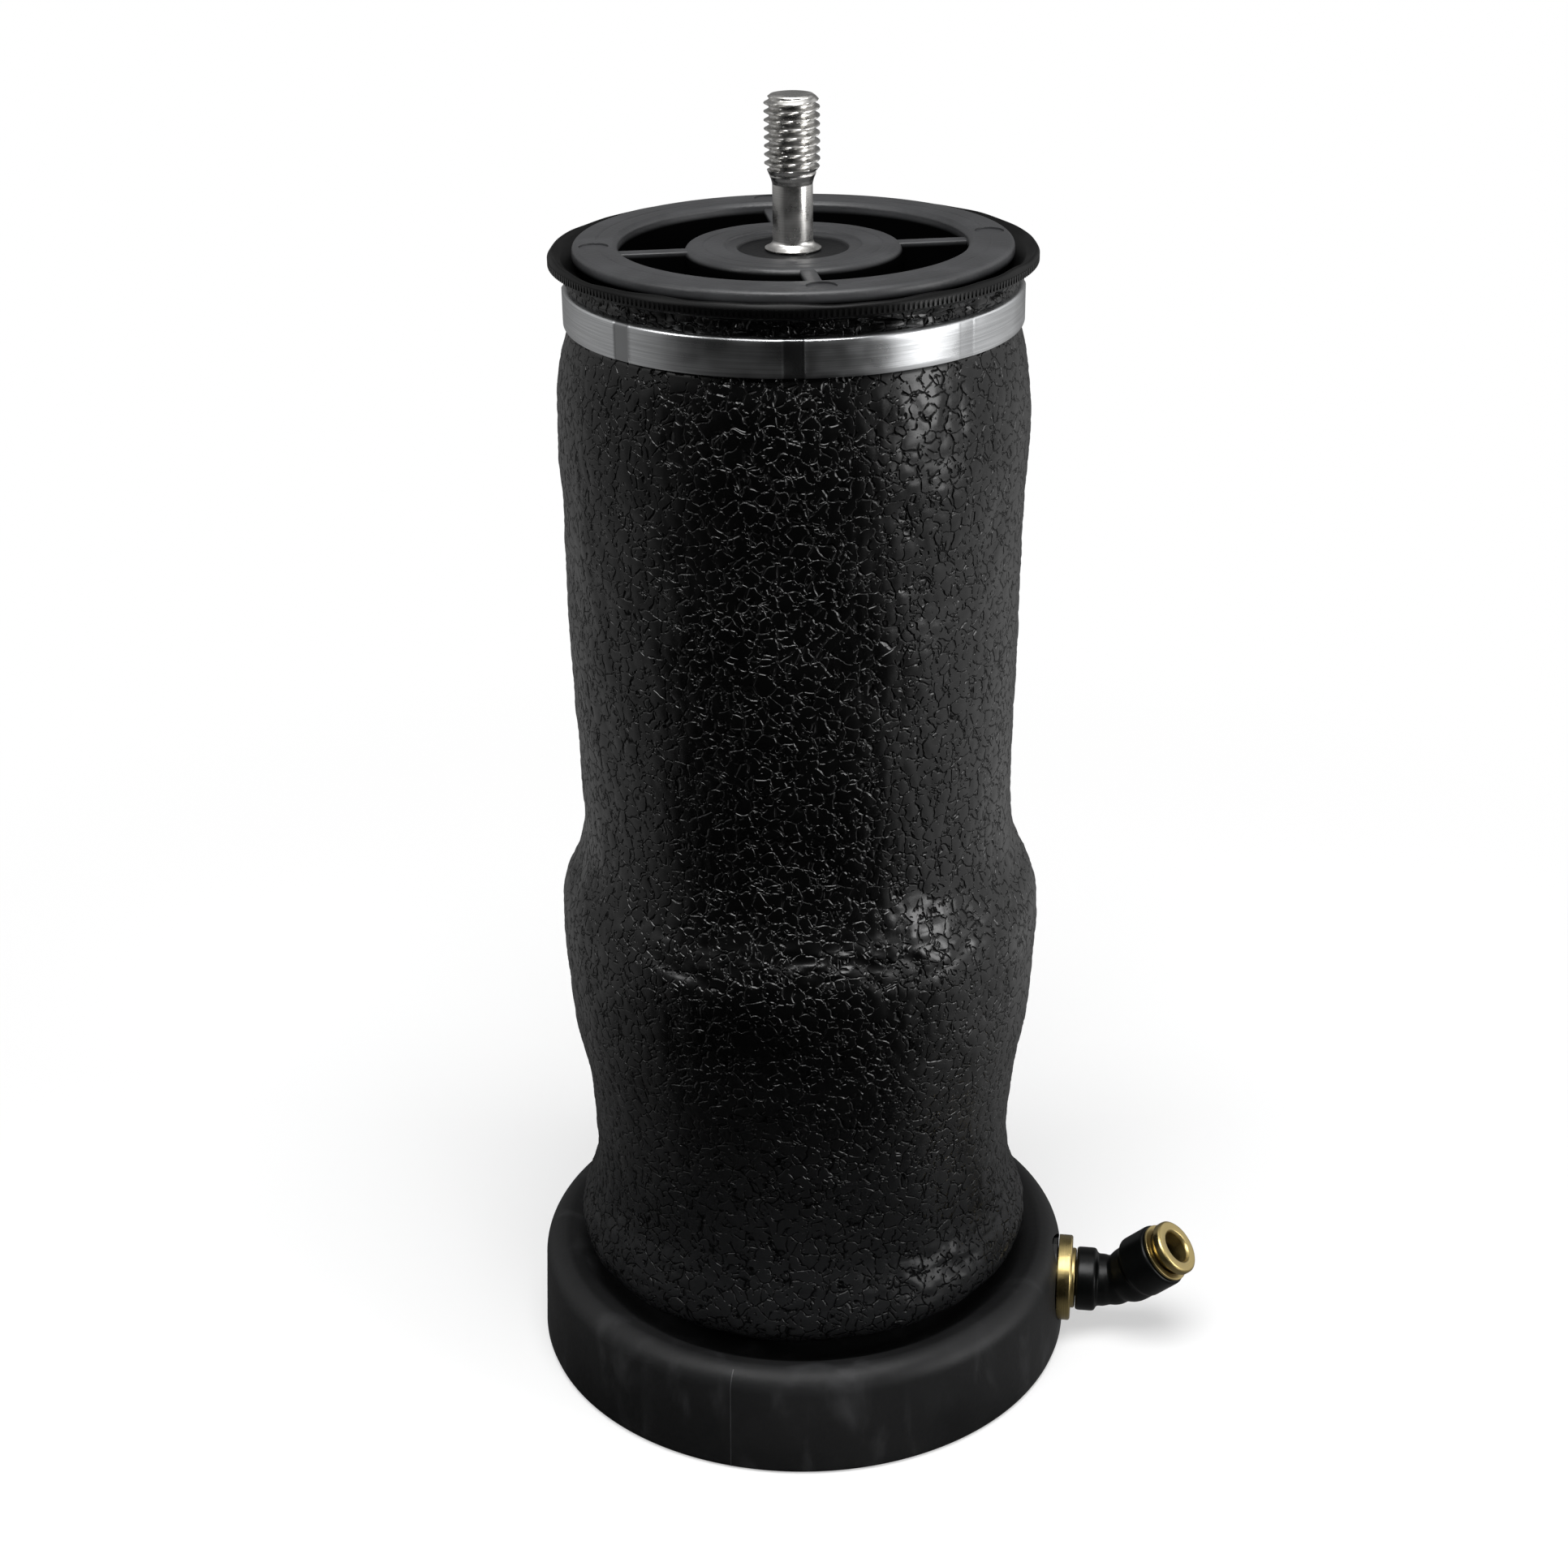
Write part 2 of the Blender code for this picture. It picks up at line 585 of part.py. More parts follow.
def bead_plate():
    """The moulded head plate: rim, deep annular pocket, ribs, stepped hub and a skirt inside the sleeve."""
    bore_r = TANG_R + FIT
    outline = [(bore_r, HUB_TOP - HUB_RECESS), (HUB_RECESS_R, HUB_TOP - HUB_RECESS),
               (HUB_RECESS_R, HUB_TOP - HUB_STEP), (HUB_STEP_R, HUB_TOP - HUB_STEP), (HUB_STEP_R, HUB_TOP),
               (HUB_R - EDGE, HUB_TOP), (HUB_R, HUB_TOP - EDGE), (HUB_R + POCKET_DRAFT, PLATE_FLOOR),
               (RING_INNER_R - POCKET_DRAFT, PLATE_FLOOR), (RING_INNER_R, PLATE_TOP - FINE_EDGE),
               (RING_INNER_R + FINE_EDGE, PLATE_TOP)]
    outline += arc(PLATE_R - RIM_RADIUS, PLATE_TOP - RIM_RADIUS, RIM_RADIUS, 90, 0, 3)
    outline += [(PLATE_R, RIM_LOW), (PLATE_R - EDGE, RIM_LOW - WASHER_EDGE),
                (PLATE_R - EDGE, RIM_LOW - RIM_STEP), (SKIRT_R, RIM_LOW - RIM_STEP - RIM_TAPER),
                (SKIRT_R, PLATE_BOTTOM + SINK), (SKIRT_R - SINK, PLATE_BOTTOM), (NUT_RECESS_R, PLATE_BOTTOM),
                (NUT_RECESS_R, NUT_CEILING), (SEAL_POCKET_R, NUT_CEILING), (SEAL_POCKET_R, SEAL_POCKET_TOP),
                (bore_r, SEAL_POCKET_TOP)]
    plate = turned("bead_plate", outline, FINE)
    bars = bmesh.new()
    marks = bmesh.new()
    for i in range(PLATE_RIBS):
        angle = PLATE_RIB_TURN - math.pi / 2 + math.tau * i / PLATE_RIBS
        add_box(bars, (HUB_R - SINK, -PLATE_RIB_WIDTH / 2, PLATE_FLOOR - SINK),
                (RING_INNER_R + SINK, PLATE_RIB_WIDTH / 2, HUB_TOP - RIB_DROP), turn=angle)
        add_rod(marks, EJECTOR_R, PLATE_TOP - EJECTOR_DEPTH, PLATE_TOP + SINK,
                x=EJECTOR_RING_R * math.cos(angle), y=EJECTOR_RING_R * math.sin(angle), sides=16)
    combine(plate, solid("plate_rib_bars", bars, cutter=True), "UNION")
    combine(plate, solid("ejector_marks", marks, cutter=True))
    return plate


def stud():
    """The turned mounting stud: threaded end, slim shank, collar, and a tang down through the hub."""
    seat = HUB_TOP - HUB_RECESS + FIT
    thread_low = STUD_TOP - THREAD_LENGTH
    tip = PLATE_BOTTOM + TANG_PROUD
    outline = [(0, STUD_TOP), (THREAD_R - STUD_CHAMFER, STUD_TOP), (THREAD_R, STUD_TOP - STUD_CHAMFER),
               (THREAD_R, thread_low),
               (SHANK_R, thread_low - RUNOUT_LENGTH), (SHANK_R, seat + COLLAR_H + EDGE),
               (COLLAR_R - FINE_EDGE, seat + COLLAR_H), (COLLAR_R, seat + COLLAR_H - FINE_EDGE), (COLLAR_R, seat),
               (TANG_R, seat), (TANG_R, tip + EDGE), (TANG_R - EDGE, tip), (0, tip)]
    return turned("stud", outline, SLIM, closed=False)


def stud_washer():
    """The washer under the hub."""
    high = NUT_CEILING - FIT
    return turned("stud_washer", ring(TANG_R + FIT, WASHER_R, high - WASHER_H, high, WASHER_EDGE), SMALL)


def stud_nut():
    """The hexagon nut on the stud's tang."""
    high = NUT_CEILING - FIT - WASHER_H - FIT
    outer = bmesh.new()
    add_rod(outer, NUT_FLATS / 2 / math.cos(math.pi / 6), high - NUT_H, high, sides=6)
    nut = solid("stud_nut", outer)
    bore = bmesh.new()
    add_rod(bore, TANG_R + FIT, high - NUT_H - SINK, high + SINK)
    combine(nut, solid("nut_bore", bore, cutter=True))
    return nut


def stud_seal():
    """The seal round the tang."""
    return seal_ring("stud_seal", TANG_R + FIT + SEAL_SECTION_R, NUT_CEILING + FIT / 2 + SEAL_SECTION_R,
                     SEAL_SECTION_R, SMALL)


def port_insert():
    """The brass insert in the base's port."""
    high = PORT_FACE_X - INSERT_SINK
    return turned("port_insert", ring(STEM_R + FIT, PORT_INSERT_R, high - PORT_INSERT_LENGTH, high), SMALL,
                  place=along_port())


def adapter():
    """The brass adapter: stem in the insert, round flange, and the hollow nose that the elbow turns on."""
    groove = CLIP_INNER_R - FIT
    seal_low = SWIVEL_SEAL_X - SWIVEL_SEAL_R - FIT
    seal_high = SWIVEL_SEAL_X + SWIVEL_SEAL_R + FIT
    seal_floor = NOSE_R + FIT - 2 * SWIVEL_SEAL_R - 2 * FIT
    end = NOSE_X + NOSE_LENGTH
    outline = [(NOSE_R - FINE_EDGE, end), (NOSE_R, end - FINE_EDGE), (NOSE_R, seal_high), (seal_floor, seal_high),
               (seal_floor, seal_low), (NOSE_R, seal_low), (NOSE_R, CLIP_X + CLIP_H + FIT),
               (groove, CLIP_X + CLIP_H + FIT), (groove, CLIP_X - FIT), (NOSE_R, CLIP_X - FIT),
               (NOSE_R, NOSE_X), (FLANGE_R - FLANGE_CHAMFER, NOSE_X), (FLANGE_R, NOSE_X - FLANGE_CHAMFER),
               (FLANGE_R, FLANGE_X),
               (STEM_R, FLANGE_X), (STEM_R, FLANGE_X - STEM_LENGTH), (NOSE_BORE_R, FLANGE_X - STEM_LENGTH),
               (NOSE_BORE_R, end)]
    return turned("adapter", outline, SMALL, place=along_port())


def adapter_seal():
    """The washer seal between the flange and the base."""
    low = PORT_FACE_X + FIT
    return turned("adapter_seal", ring(STEM_R + FIT, WASHER_SEAL_R, low, low + WASHER_SEAL_H), SMALL,
                  place=along_port())


def swivel_seal():
    """The seal between the adapter's nose and the elbow."""
    return seal_ring("swivel_seal", NOSE_R - SWIVEL_SEAL_R, SWIVEL_SEAL_X, SWIVEL_SEAL_R, SMALL,
                     place=along_port())


def swivel_clip():
    """The split ring that keeps the elbow on the nose and lets it turn."""
    clip = turned("swivel_clip", ring(CLIP_INNER_R, CLIP_OUTER_R, CLIP_X, CLIP_X + CLIP_H), SMALL,
                  place=along_port())
    slot = bmesh.new()
    add_box(slot, (0, -CLIP_GAP / 2, CLIP_X - SINK), (CLIP_OUTER_R + SINK, CLIP_GAP / 2, CLIP_X + CLIP_H + SINK))
    combine(clip, solid("clip_slot", slot, place=along_port(), cutter=True))
    return clip


def elbow_body():
    """The moulded elbow: a turning inlet, a rounded bend and the outlet that holds the tube."""
    inlet = [(0, BEND_X), (ELBOW_NECK_R, BEND_X), (ELBOW_NECK_R, INLET_X + INLET_LENGTH + FINE_EDGE),
             (ELBOW_R, INLET_X + INLET_LENGTH), (ELBOW_R, INLET_X + FINE_EDGE), (ELBOW_R - FINE_EDGE, INLET_X),
             (0, INLET_X)]
    body = turned("elbow_body", inlet, SMALL, closed=False, place=along_port())
    outlet = [(0, OUTLET_END), (ELBOW_R - FINE_EDGE, OUTLET_END), (ELBOW_R, OUTLET_END - FINE_EDGE),
              (ELBOW_R, GLAND_START + SHOULDER_RUN), (OUTLET_NECK_R, GLAND_START)]
    outlet += arc(0, 0, OUTLET_NECK_R, 0, -90, 5)
    combine(body, turned("elbow_outlet", outlet, SMALL, closed=False, place=along_outlet(), cutter=True), "UNION")
    sweep = bmesh.new()
    reach = outlet_direction() * GLAND_START * HEEL_SHARE
    heel = Vector((BEND_X, 0, PORT_Z)) + reach - Vector((0, 0, HEEL_DROP))
    bmesh.ops.create_uvsphere(sweep, u_segments=16, v_segments=10, radius=HEEL_R,
                              matrix=Matrix.Translation(heel))
    combine(body, solid("elbow_heel", sweep, cutter=True), "UNION")

    socket = [(0, SOCKET_X), (NOSE_R + FIT, SOCKET_X), (NOSE_R + FIT, CLIP_X + CLIP_H + FIT),
              (CLIP_OUTER_R + FIT, CLIP_X + CLIP_H + FIT), (CLIP_OUTER_R + FIT, CLIP_X - FIT),
              (NOSE_R + FIT, CLIP_X - FIT), (NOSE_R + FIT, INLET_X - SINK), (0, INLET_X - SINK)]
    combine(body, turned("inlet_socket", socket, SMALL, closed=False, place=along_port(), cutter=True))
    through = [(0, BEND_X), (AIR_BORE_R, BEND_X), (AIR_BORE_R, INLET_X), (0, INLET_X)]
    combine(body, turned("inlet_air_way", through, 12, closed=False, place=along_port(), cutter=True))
    bore = [(0, OUTLET_END + SINK), (CARTRIDGE_R + FIT, OUTLET_END + SINK),
            (CARTRIDGE_R + FIT, CARTRIDGE_START - FIT), (GLAND_R, CARTRIDGE_START - FIT), (GLAND_R, GLAND_START),
            (TUBE_BORE_R, GLAND_START), (TUBE_BORE_R, TUBE_STOP), (AIR_BORE_R, TUBE_STOP),
            (AIR_BORE_R, -SINK), (0, -SINK)]
    combine(body, turned("outlet_bore", bore, SMALL, closed=False, place=along_outlet(), cutter=True))
    return body


def tube_seal():
    """The seal that grips the air tube."""
    return seal_ring("tube_seal", TUBE_BORE_R + SEAL_SECTION_R, GLAND_START + FIT + SEAL_SECTION_R,
                     SEAL_SECTION_R, SMALL, place=along_outlet())


def grab_ring():
    """The toothed steel ring that holds the tube."""
    low = GLAND_START + 2 * FIT + 2 * SEAL_SECTION_R
    inner = TUBE_BORE_R
    outline = [(GLAND_R - FIT, low + GRAB_H), (GLAND_R - FIT, low), (inner, low), (inner, low + GRAB_H)]
    teeth = turned("grab_ring", outline, SMALL, place=along_outlet())
    slots = bmesh.new()
    for i in range(4):
        add_box(slots, (-GRAB_ROOT_R, -GRAB_SLOT / 2, low - SINK), (GRAB_ROOT_R, GRAB_SLOT / 2, low + GRAB_H + SINK),
                turn=math.pi * i / 4 + 0.13)
    combine(teeth, solid("grab_slots", slots, place=along_outlet(), cutter=True))
    return teeth


def tube_cartridge():
    """The brass sleeve pressed into the outlet, which guides the collet."""
    lip_low = OUTLET_END + FIT
    inner = COLLET_STEM_R + FIT
    outline = [(CARTRIDGE_LIP_R, lip_low + CARTRIDGE_LIP_H), (CARTRIDGE_LIP_R, lip_low), (CARTRIDGE_R, lip_low),
               (CARTRIDGE_R, CARTRIDGE_START), (inner, CARTRIDGE_START), (inner, lip_low + CARTRIDGE_LIP_H)]
    return turned("tube_cartridge", outline, SMALL, place=along_outlet())


def release_collet():
    """The brass collet that is pressed in to free the tube."""
    top = COLLET_SEAT + COLLET_HEAD
    inner = TUBE_R + COLLET_EASE
    low = CARTRIDGE_START + FIT
    outline = [(COLLET_R - FINE_EDGE, top), (COLLET_R, top - FINE_EDGE), (COLLET_R, COLLET_SEAT),
               (COLLET_STEM_R, COLLET_SEAT), (COLLET_STEM_R, low), (inner, low), (inner, top - EDGE),
               (inner + EDGE, top)]
    return turned("release_collet", outline, SMALL, place=along_outlet())


def moving_group(name, place, parent=None):
    """An empty on a joint's axis."""
    empty = bpy.data.objects.new(name, None)
    empty.empty_display_size = 0.02
    parts.objects.link(empty)
    empty.matrix_basis = place
    if parent is not None:
        hang(empty, parent)
    bpy.context.view_layer.update()
    return empty


def hang(obj, parent):
    """Parents an object and keeps it where it is."""
    obj.parent = parent
    obj.matrix_parent_inverse = parent.matrix_world.inverted()


def shade(obj):
    """Turns the piece into its final mesh, smooth round its curves."""
    graph = bpy.context.evaluated_depsgraph_get()
    final = bpy.data.meshes.new_from_object(obj.evaluated_get(graph))
    obj.modifiers.clear()
    obj.data = final
    final.shade_smooth()
    final.set_sharp_from_angle(angle=math.radians(32))


def main():
    """Builds every piece, gives it its finish and hangs it on what moves it."""
    start()
    composite = finish_material("black_composite", (0.012, 0.012, 0.013), 0.42)
    grey = finish_material("grey_composite", (0.055, 0.056, 0.058), 0.48)
    rubber = finish_material("textured_rubber", (0.010, 0.010, 0.011), 0.50)
    soft = finish_material("seal_rubber", (0.008, 0.008, 0.008), 0.60)
    steel = finish_material("turned_steel", (0.62, 0.61, 0.59), 0.22, 1.0)
    aluminium = finish_material("brushed_aluminium", (0.60, 0.61, 0.62), 0.32, 1.0)
    brass = finish_material("brass", (0.62, 0.47, 0.22), 0.30, 1.0)

    fixed = [(base_bowl(), composite), (mount_insert("mount_insert_left", -1), steel),
             (mount_insert("mount_insert_right", 1), steel), (centre_insert(), steel), (piston(), composite),
             (piston_seal(), soft), (bumper(), soft), (bumper_washer(), steel), (centre_bolt(), steel),
             (lower_clamp_band(), aluminium), (sleeve(), rubber), (port_insert(), brass), (adapter(), brass),
             (adapter_seal(), soft)]
    head = [(bead_plate(), grey), (stud(), steel), (stud_washer(), steel), (stud_nut(), steel),
            (stud_seal(), soft), (upper_clamp_band(), aluminium)]
    elbow = [(elbow_body(), composite), (swivel_seal(), soft), (swivel_clip(), steel), (tube_seal(), soft),
             (grab_ring(), steel), (tube_cartridge(), brass)]
    collet = [(release_collet(), brass)]
    bpy.context.view_layer.update()
    for obj, finish in fixed + head + elbow + collet:
        shade(obj)
        obj.data.materials.clear()
        obj.data.materials.append(finish)
    for tool in list(tools.objects):
        tool.hide_set(True)

    head_group = moving_group("head_stroke", Matrix.Translation((0, 0, PLATE_BOTTOM)))
    elbow_group = moving_group("elbow_turn", Matrix.Translation((BEND_X, 0, PORT_Z)))
    collet_group = moving_group("collet_press", along_outlet(), elbow_group)
    for group, pieces in ((head_group, head), (elbow_group, elbow), (collet_group, collet)):
        for obj, finish in pieces:
            hang(obj, group)
    bpy.context.view_layer.update()


main()
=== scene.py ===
"""Dresses the air suspension spring: textured sleeve, ribbed head, dished base, brass and black air elbow."""

import json
import math

import bmesh
import bpy
import numpy as np
from bpy.props import FloatProperty, FloatVectorProperty, IntProperty, PointerProperty
from mathutils import Matrix, Vector


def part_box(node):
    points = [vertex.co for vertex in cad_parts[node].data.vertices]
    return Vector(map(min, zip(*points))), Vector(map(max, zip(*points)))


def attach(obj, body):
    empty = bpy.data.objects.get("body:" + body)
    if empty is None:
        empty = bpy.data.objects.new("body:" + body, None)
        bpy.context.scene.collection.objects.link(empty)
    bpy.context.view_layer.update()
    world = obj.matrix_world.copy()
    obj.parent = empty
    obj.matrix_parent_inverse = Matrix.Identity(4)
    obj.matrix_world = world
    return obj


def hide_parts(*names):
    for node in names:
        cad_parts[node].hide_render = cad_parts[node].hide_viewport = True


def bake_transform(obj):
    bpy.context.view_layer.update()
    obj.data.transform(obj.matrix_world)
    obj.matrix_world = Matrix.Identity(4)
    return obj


bl_info = {
    "name": "Air suspension spring",
    "version": (1, 0, 0),
    "blender": (4, 5, 0),
    "location": "3D View > Sidebar > Air spring",
    "description": "Builds the dressed air spring and its stage round the loaded frame",
    "category": "Object",
}

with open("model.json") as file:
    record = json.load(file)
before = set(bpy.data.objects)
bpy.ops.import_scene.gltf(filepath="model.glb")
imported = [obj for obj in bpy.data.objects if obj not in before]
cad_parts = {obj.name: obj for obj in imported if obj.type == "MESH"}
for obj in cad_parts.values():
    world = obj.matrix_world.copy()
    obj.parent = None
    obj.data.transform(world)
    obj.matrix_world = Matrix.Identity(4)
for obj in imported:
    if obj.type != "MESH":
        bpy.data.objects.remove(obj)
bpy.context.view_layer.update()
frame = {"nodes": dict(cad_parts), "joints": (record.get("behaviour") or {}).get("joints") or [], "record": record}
NODES = frame["nodes"]
SLOTS = {part["node"]: part["material_slot"] for part in frame["record"]["subparts"]}
JOINTS = {joint["name"]: joint for joint in frame["joints"]}

# Places shared by several pieces, from the frame
HEAD_LOW, HEAD_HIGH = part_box("bead_plate")
BAND_LOW, BAND_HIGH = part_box("upper_clamp_band")
SLEEVE_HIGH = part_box("sleeve")[1]
BASE_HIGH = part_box("base_bowl")[1]
STUD_LOW, STUD_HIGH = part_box("stud")
FLANGE_LOW, FLANGE_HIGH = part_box("adapter")
BEND = Vector(JOINTS["elbow_swivel"]["pos_m"])
OUTWARDS = Vector(JOINTS["collet_press"]["axis"]).normalized()
CAMERA_TURN = math.radians(8)
# Local Z along the port, on its height, and out of the elbow from its bend
ALONG_PORT = Matrix.Translation((0, 0, BEND.z)) @ Matrix.Rotation(math.radians(90), 4, "Y")
ALONG_OUTLET = Matrix.Translation(BEND) @ OUTWARDS.to_track_quat("Z", "Y").to_matrix().to_4x4()
# The camera's side of the object, and its right
AHEAD = (math.sin(CAMERA_TURN), -math.cos(CAMERA_TURN), 0)
RIGHT = (math.cos(CAMERA_TURN), math.sin(CAMERA_TURN), 0)
FLAT = (1, 1, 0)


def length(name, metres, text):
    """A size that the panel shows."""
    return FloatProperty(name=name, description=text, default=metres, unit="LENGTH", subtype="DISTANCE",
                         precision=5, min=0.0)


def colour(name, value, text):
    """A colour that the panel shows."""
    return FloatVectorProperty(name=name, description=text, default=value, size=3, subtype="COLOR",
                               min=0.0, max=1.0)


class SleeveSettings(bpy.types.PropertyGroup):
    cell: length("Grain cell", 0.0027, "Width of one cell of the embossed grain")
    groove: length("Groove depth", 0.00018, "Depth of the grooves between cells")
    pillow: length("Cell relief", 0.00014, "How far each cell stands above its edges")
    lump: length("Lumps", 0.00028, "Height of the soft lumps under the grain")
    bow: length("Bow", 0.0006, "How far the upper sleeve leans to the left")
    rubber: colour("Rubber", (0.0007, 0.00072, 0.00075), "Colour of the sleeve's rubber")
    tick_count: IntProperty(name="Lip ticks", description="Fine ticks round the lip", default=290, min=8)


class HeadSettings(bpy.types.PropertyGroup):
    rib_width: length("Rib width", 0.0029, "Width of each rib of the head plate")
    ribs: IntProperty(name="Ribs", description="Ribs across the head plate's pocket", default=4, min=2)
    plate: colour("Plate", (0.027, 0.0275, 0.029), "Colour of the moulded head plate")
    pitch: length("Thread pitch", 0.0015, "Pitch of the stud's thread")
    steel: colour("Steel", (0.66, 0.65, 0.63), "Colour of the turned stud")


class BandSettings(bpy.types.PropertyGroup):
    crimps: IntProperty(name="Crimps", description="Marks of the crimping tool round the band", default=8, min=1)
    crimp_width: length("Crimp width", 0.0036, "Width of each mark")
    dent: length("Crimp depth", 0.00012, "Depth of each mark")
    metal: colour("Metal", (0.62, 0.63, 0.64), "Colour of the clamp band")


class BaseSettings(bpy.types.PropertyGroup):
    body: colour("Body", (0.0068, 0.0069, 0.0072), "Colour of the moulded base")
    line: length("Parting line", 0.00016, "Radius of the bead left along the mould's parting line")


class FittingSettings(bpy.types.PropertyGroup):
    brass: colour("Brass", (0.44, 0.345, 0.15), "Colour of the brass parts")
    plastic: colour("Elbow", (0.0012, 0.0014, 0.0014), "Colour of the elbow's moulding")


class StageSettings(bpy.types.PropertyGroup):
    floor: colour("Floor", (0.86, 0.86, 0.86), "Colour of the floor")


# Helpers for node trees

def put(tree, target, value):
    """Links a socket to an input, or sets the input's value."""
    if isinstance(value, bpy.types.NodeSocket):
        tree.links.new(value, target)
    else:
        target.default_value = value


def add(tree, kind, inputs=None, **settings):
    """Adds a node. Inputs are sockets to link or values to set."""
    made = tree.nodes.new(kind)
    for key, value in settings.items():
        setattr(made, key, value)
    for key, value in (inputs or {}).items():
        put(tree, made.inputs[key], value)
    return made


def combine(tree, operation, first, second):
    """A Math node's result."""
    return add(tree, "ShaderNodeMath", {0: first, 1: second}, operation=operation).outputs[0]


def times(tree, first, second):
    """Two values multiplied."""
    return combine(tree, "MULTIPLY", first, second)


def plus(tree, first, second):
    """Two values added."""
    return combine(tree, "ADD", first, second)


def vector(tree, operation, first, second=None, output="Vector"):
    """A Vector Math node's result. The second input is a vector, or the factor of SCALE."""
    inputs = {0: first}
    if second is not None:
        inputs["Scale" if operation == "SCALE" else 1] = second
    return add(tree, "ShaderNodeVectorMath", inputs, operation=operation).outputs[output]


def off_axis(tree, place):
    """A place's distance from the Z axis."""
    return vector(tree, "LENGTH", vector(tree, "MULTIPLY", place, FLAT), output="Value")


def height_of(tree, place):
    """A place's Z coordinate."""
    return add(tree, "ShaderNodeSeparateXYZ", {0: place}).outputs["Z"]


def noise(tree, place, scale, detail, output="Fac", **more):
    """A noise texture's result."""
    inputs = {"Vector": place, "Scale": scale, "Detail": detail, **more}
    return add(tree, "ShaderNodeTexNoise", inputs).outputs[output]


def rings(tree, run, detail):
    """A noise along one value."""
    return add(tree, "ShaderNodeTexNoise", {"W": run, "Scale": 1.0, "Detail": detail},
               noise_dimensions="1D").outputs["Fac"]


def stretched(tree, place, scale):
    """The place with its coordinates multiplied."""
    return add(tree, "ShaderNodeMapping", {"Vector": place, "Scale": scale}).outputs["Vector"]


def attribute(tree, name, output="Fac"):
    """An attribute that the mesh holds."""
    return add(tree, "ShaderNodeAttribute", attribute_name=name).outputs[output]


def ramp(tree, value, low, high, start=0.0, end=1.0, kind="SMOOTHSTEP"):
    """Goes from start to end while value goes from low to high, as a smooth step or of another kind."""
    return add(tree, "ShaderNodeMapRange", {"Value": value, "From Min": low, "From Max": high,
                                            "To Min": start, "To Max": end},
               interpolation_type=kind).outputs["Result"]


def slope(tree, value, high):
    """A straight fall from 1 to 0 as value goes from 0 to high."""
    return ramp(tree, value, 0.0, high, 1.0, 0.0, "LINEAR")


def tone(value, share=1.0):
    """A colour times a share, with its alpha."""
    return (*(share * c for c in value), 1.0)


def two_tones(tree, marks, low, high, value, dark, light=1.0):
    """A colour between two shares of itself, by marks between low and high."""
    return mix_colour(tree, ramp(tree, marks, low, high), tone(value, dark), tone(value, light))


def mix_colour(tree, share, first, second):
    """A blend of two colours by share."""
    return add(tree, "ShaderNodeMix", {0: share, 6: first, 7: second}, data_type="RGBA").outputs[2]


def finish(name, roughness, metallic=0.0, gloss=0.5):
    """A material with a Principled shader, and its tree and Object coordinates."""
    made = bpy.data.materials.new(name)
    made.use_nodes = True
    tree = made.node_tree
    shader = tree.nodes["Principled BSDF"]
    feed(tree, shader, Roughness=roughness, Metallic=metallic, Specular_IOR_Level=gloss)
    return made, tree, shader, add(tree, "ShaderNodeTexCoord").outputs["Object"]


def feed(tree, shader, **inputs):
    """Sets or links a shader's inputs, named with underscores."""
    for key, value in inputs.items():
        put(tree, shader.inputs[key.replace("_", " ")], value)


def bump(tree, shader, height, distance):
    """Puts a height into the shader's normal."""
    made = add(tree, "ShaderNodeBump", {"Height": height, "Distance": distance, "Strength": 1.0})
    feed(tree, shader, Normal=made.outputs["Normal"])


def wander(tree, place, scale, amount):
    """The place moved about by a noise."""
    centred = vector(tree, "SUBTRACT", noise(tree, place, scale, 1.0, "Color"), (0.5, 0.5, 0.5))
    return vector(tree, "ADD", place, vector(tree, "SCALE", centred, amount))


def cell_edges(tree, place, scale):
    """The distance to the nearest edge between random cells, in cells."""
    return add(tree, "ShaderNodeTexVoronoi", {"Vector": place, "Scale": scale},
               feature="DISTANCE_TO_EDGE").outputs["Distance"]


def grain_distance(tree, place, cell):
    """Distance to the nearest edge of the grain's cells, in cells, wobbled so that the edges wander."""
    warped = wander(tree, wander(tree, place, 0.8 / cell, 0.9 * cell), 1.7 / cell, 0.26 * cell)
    return cell_edges(tree, warped, 1.0 / cell), warped


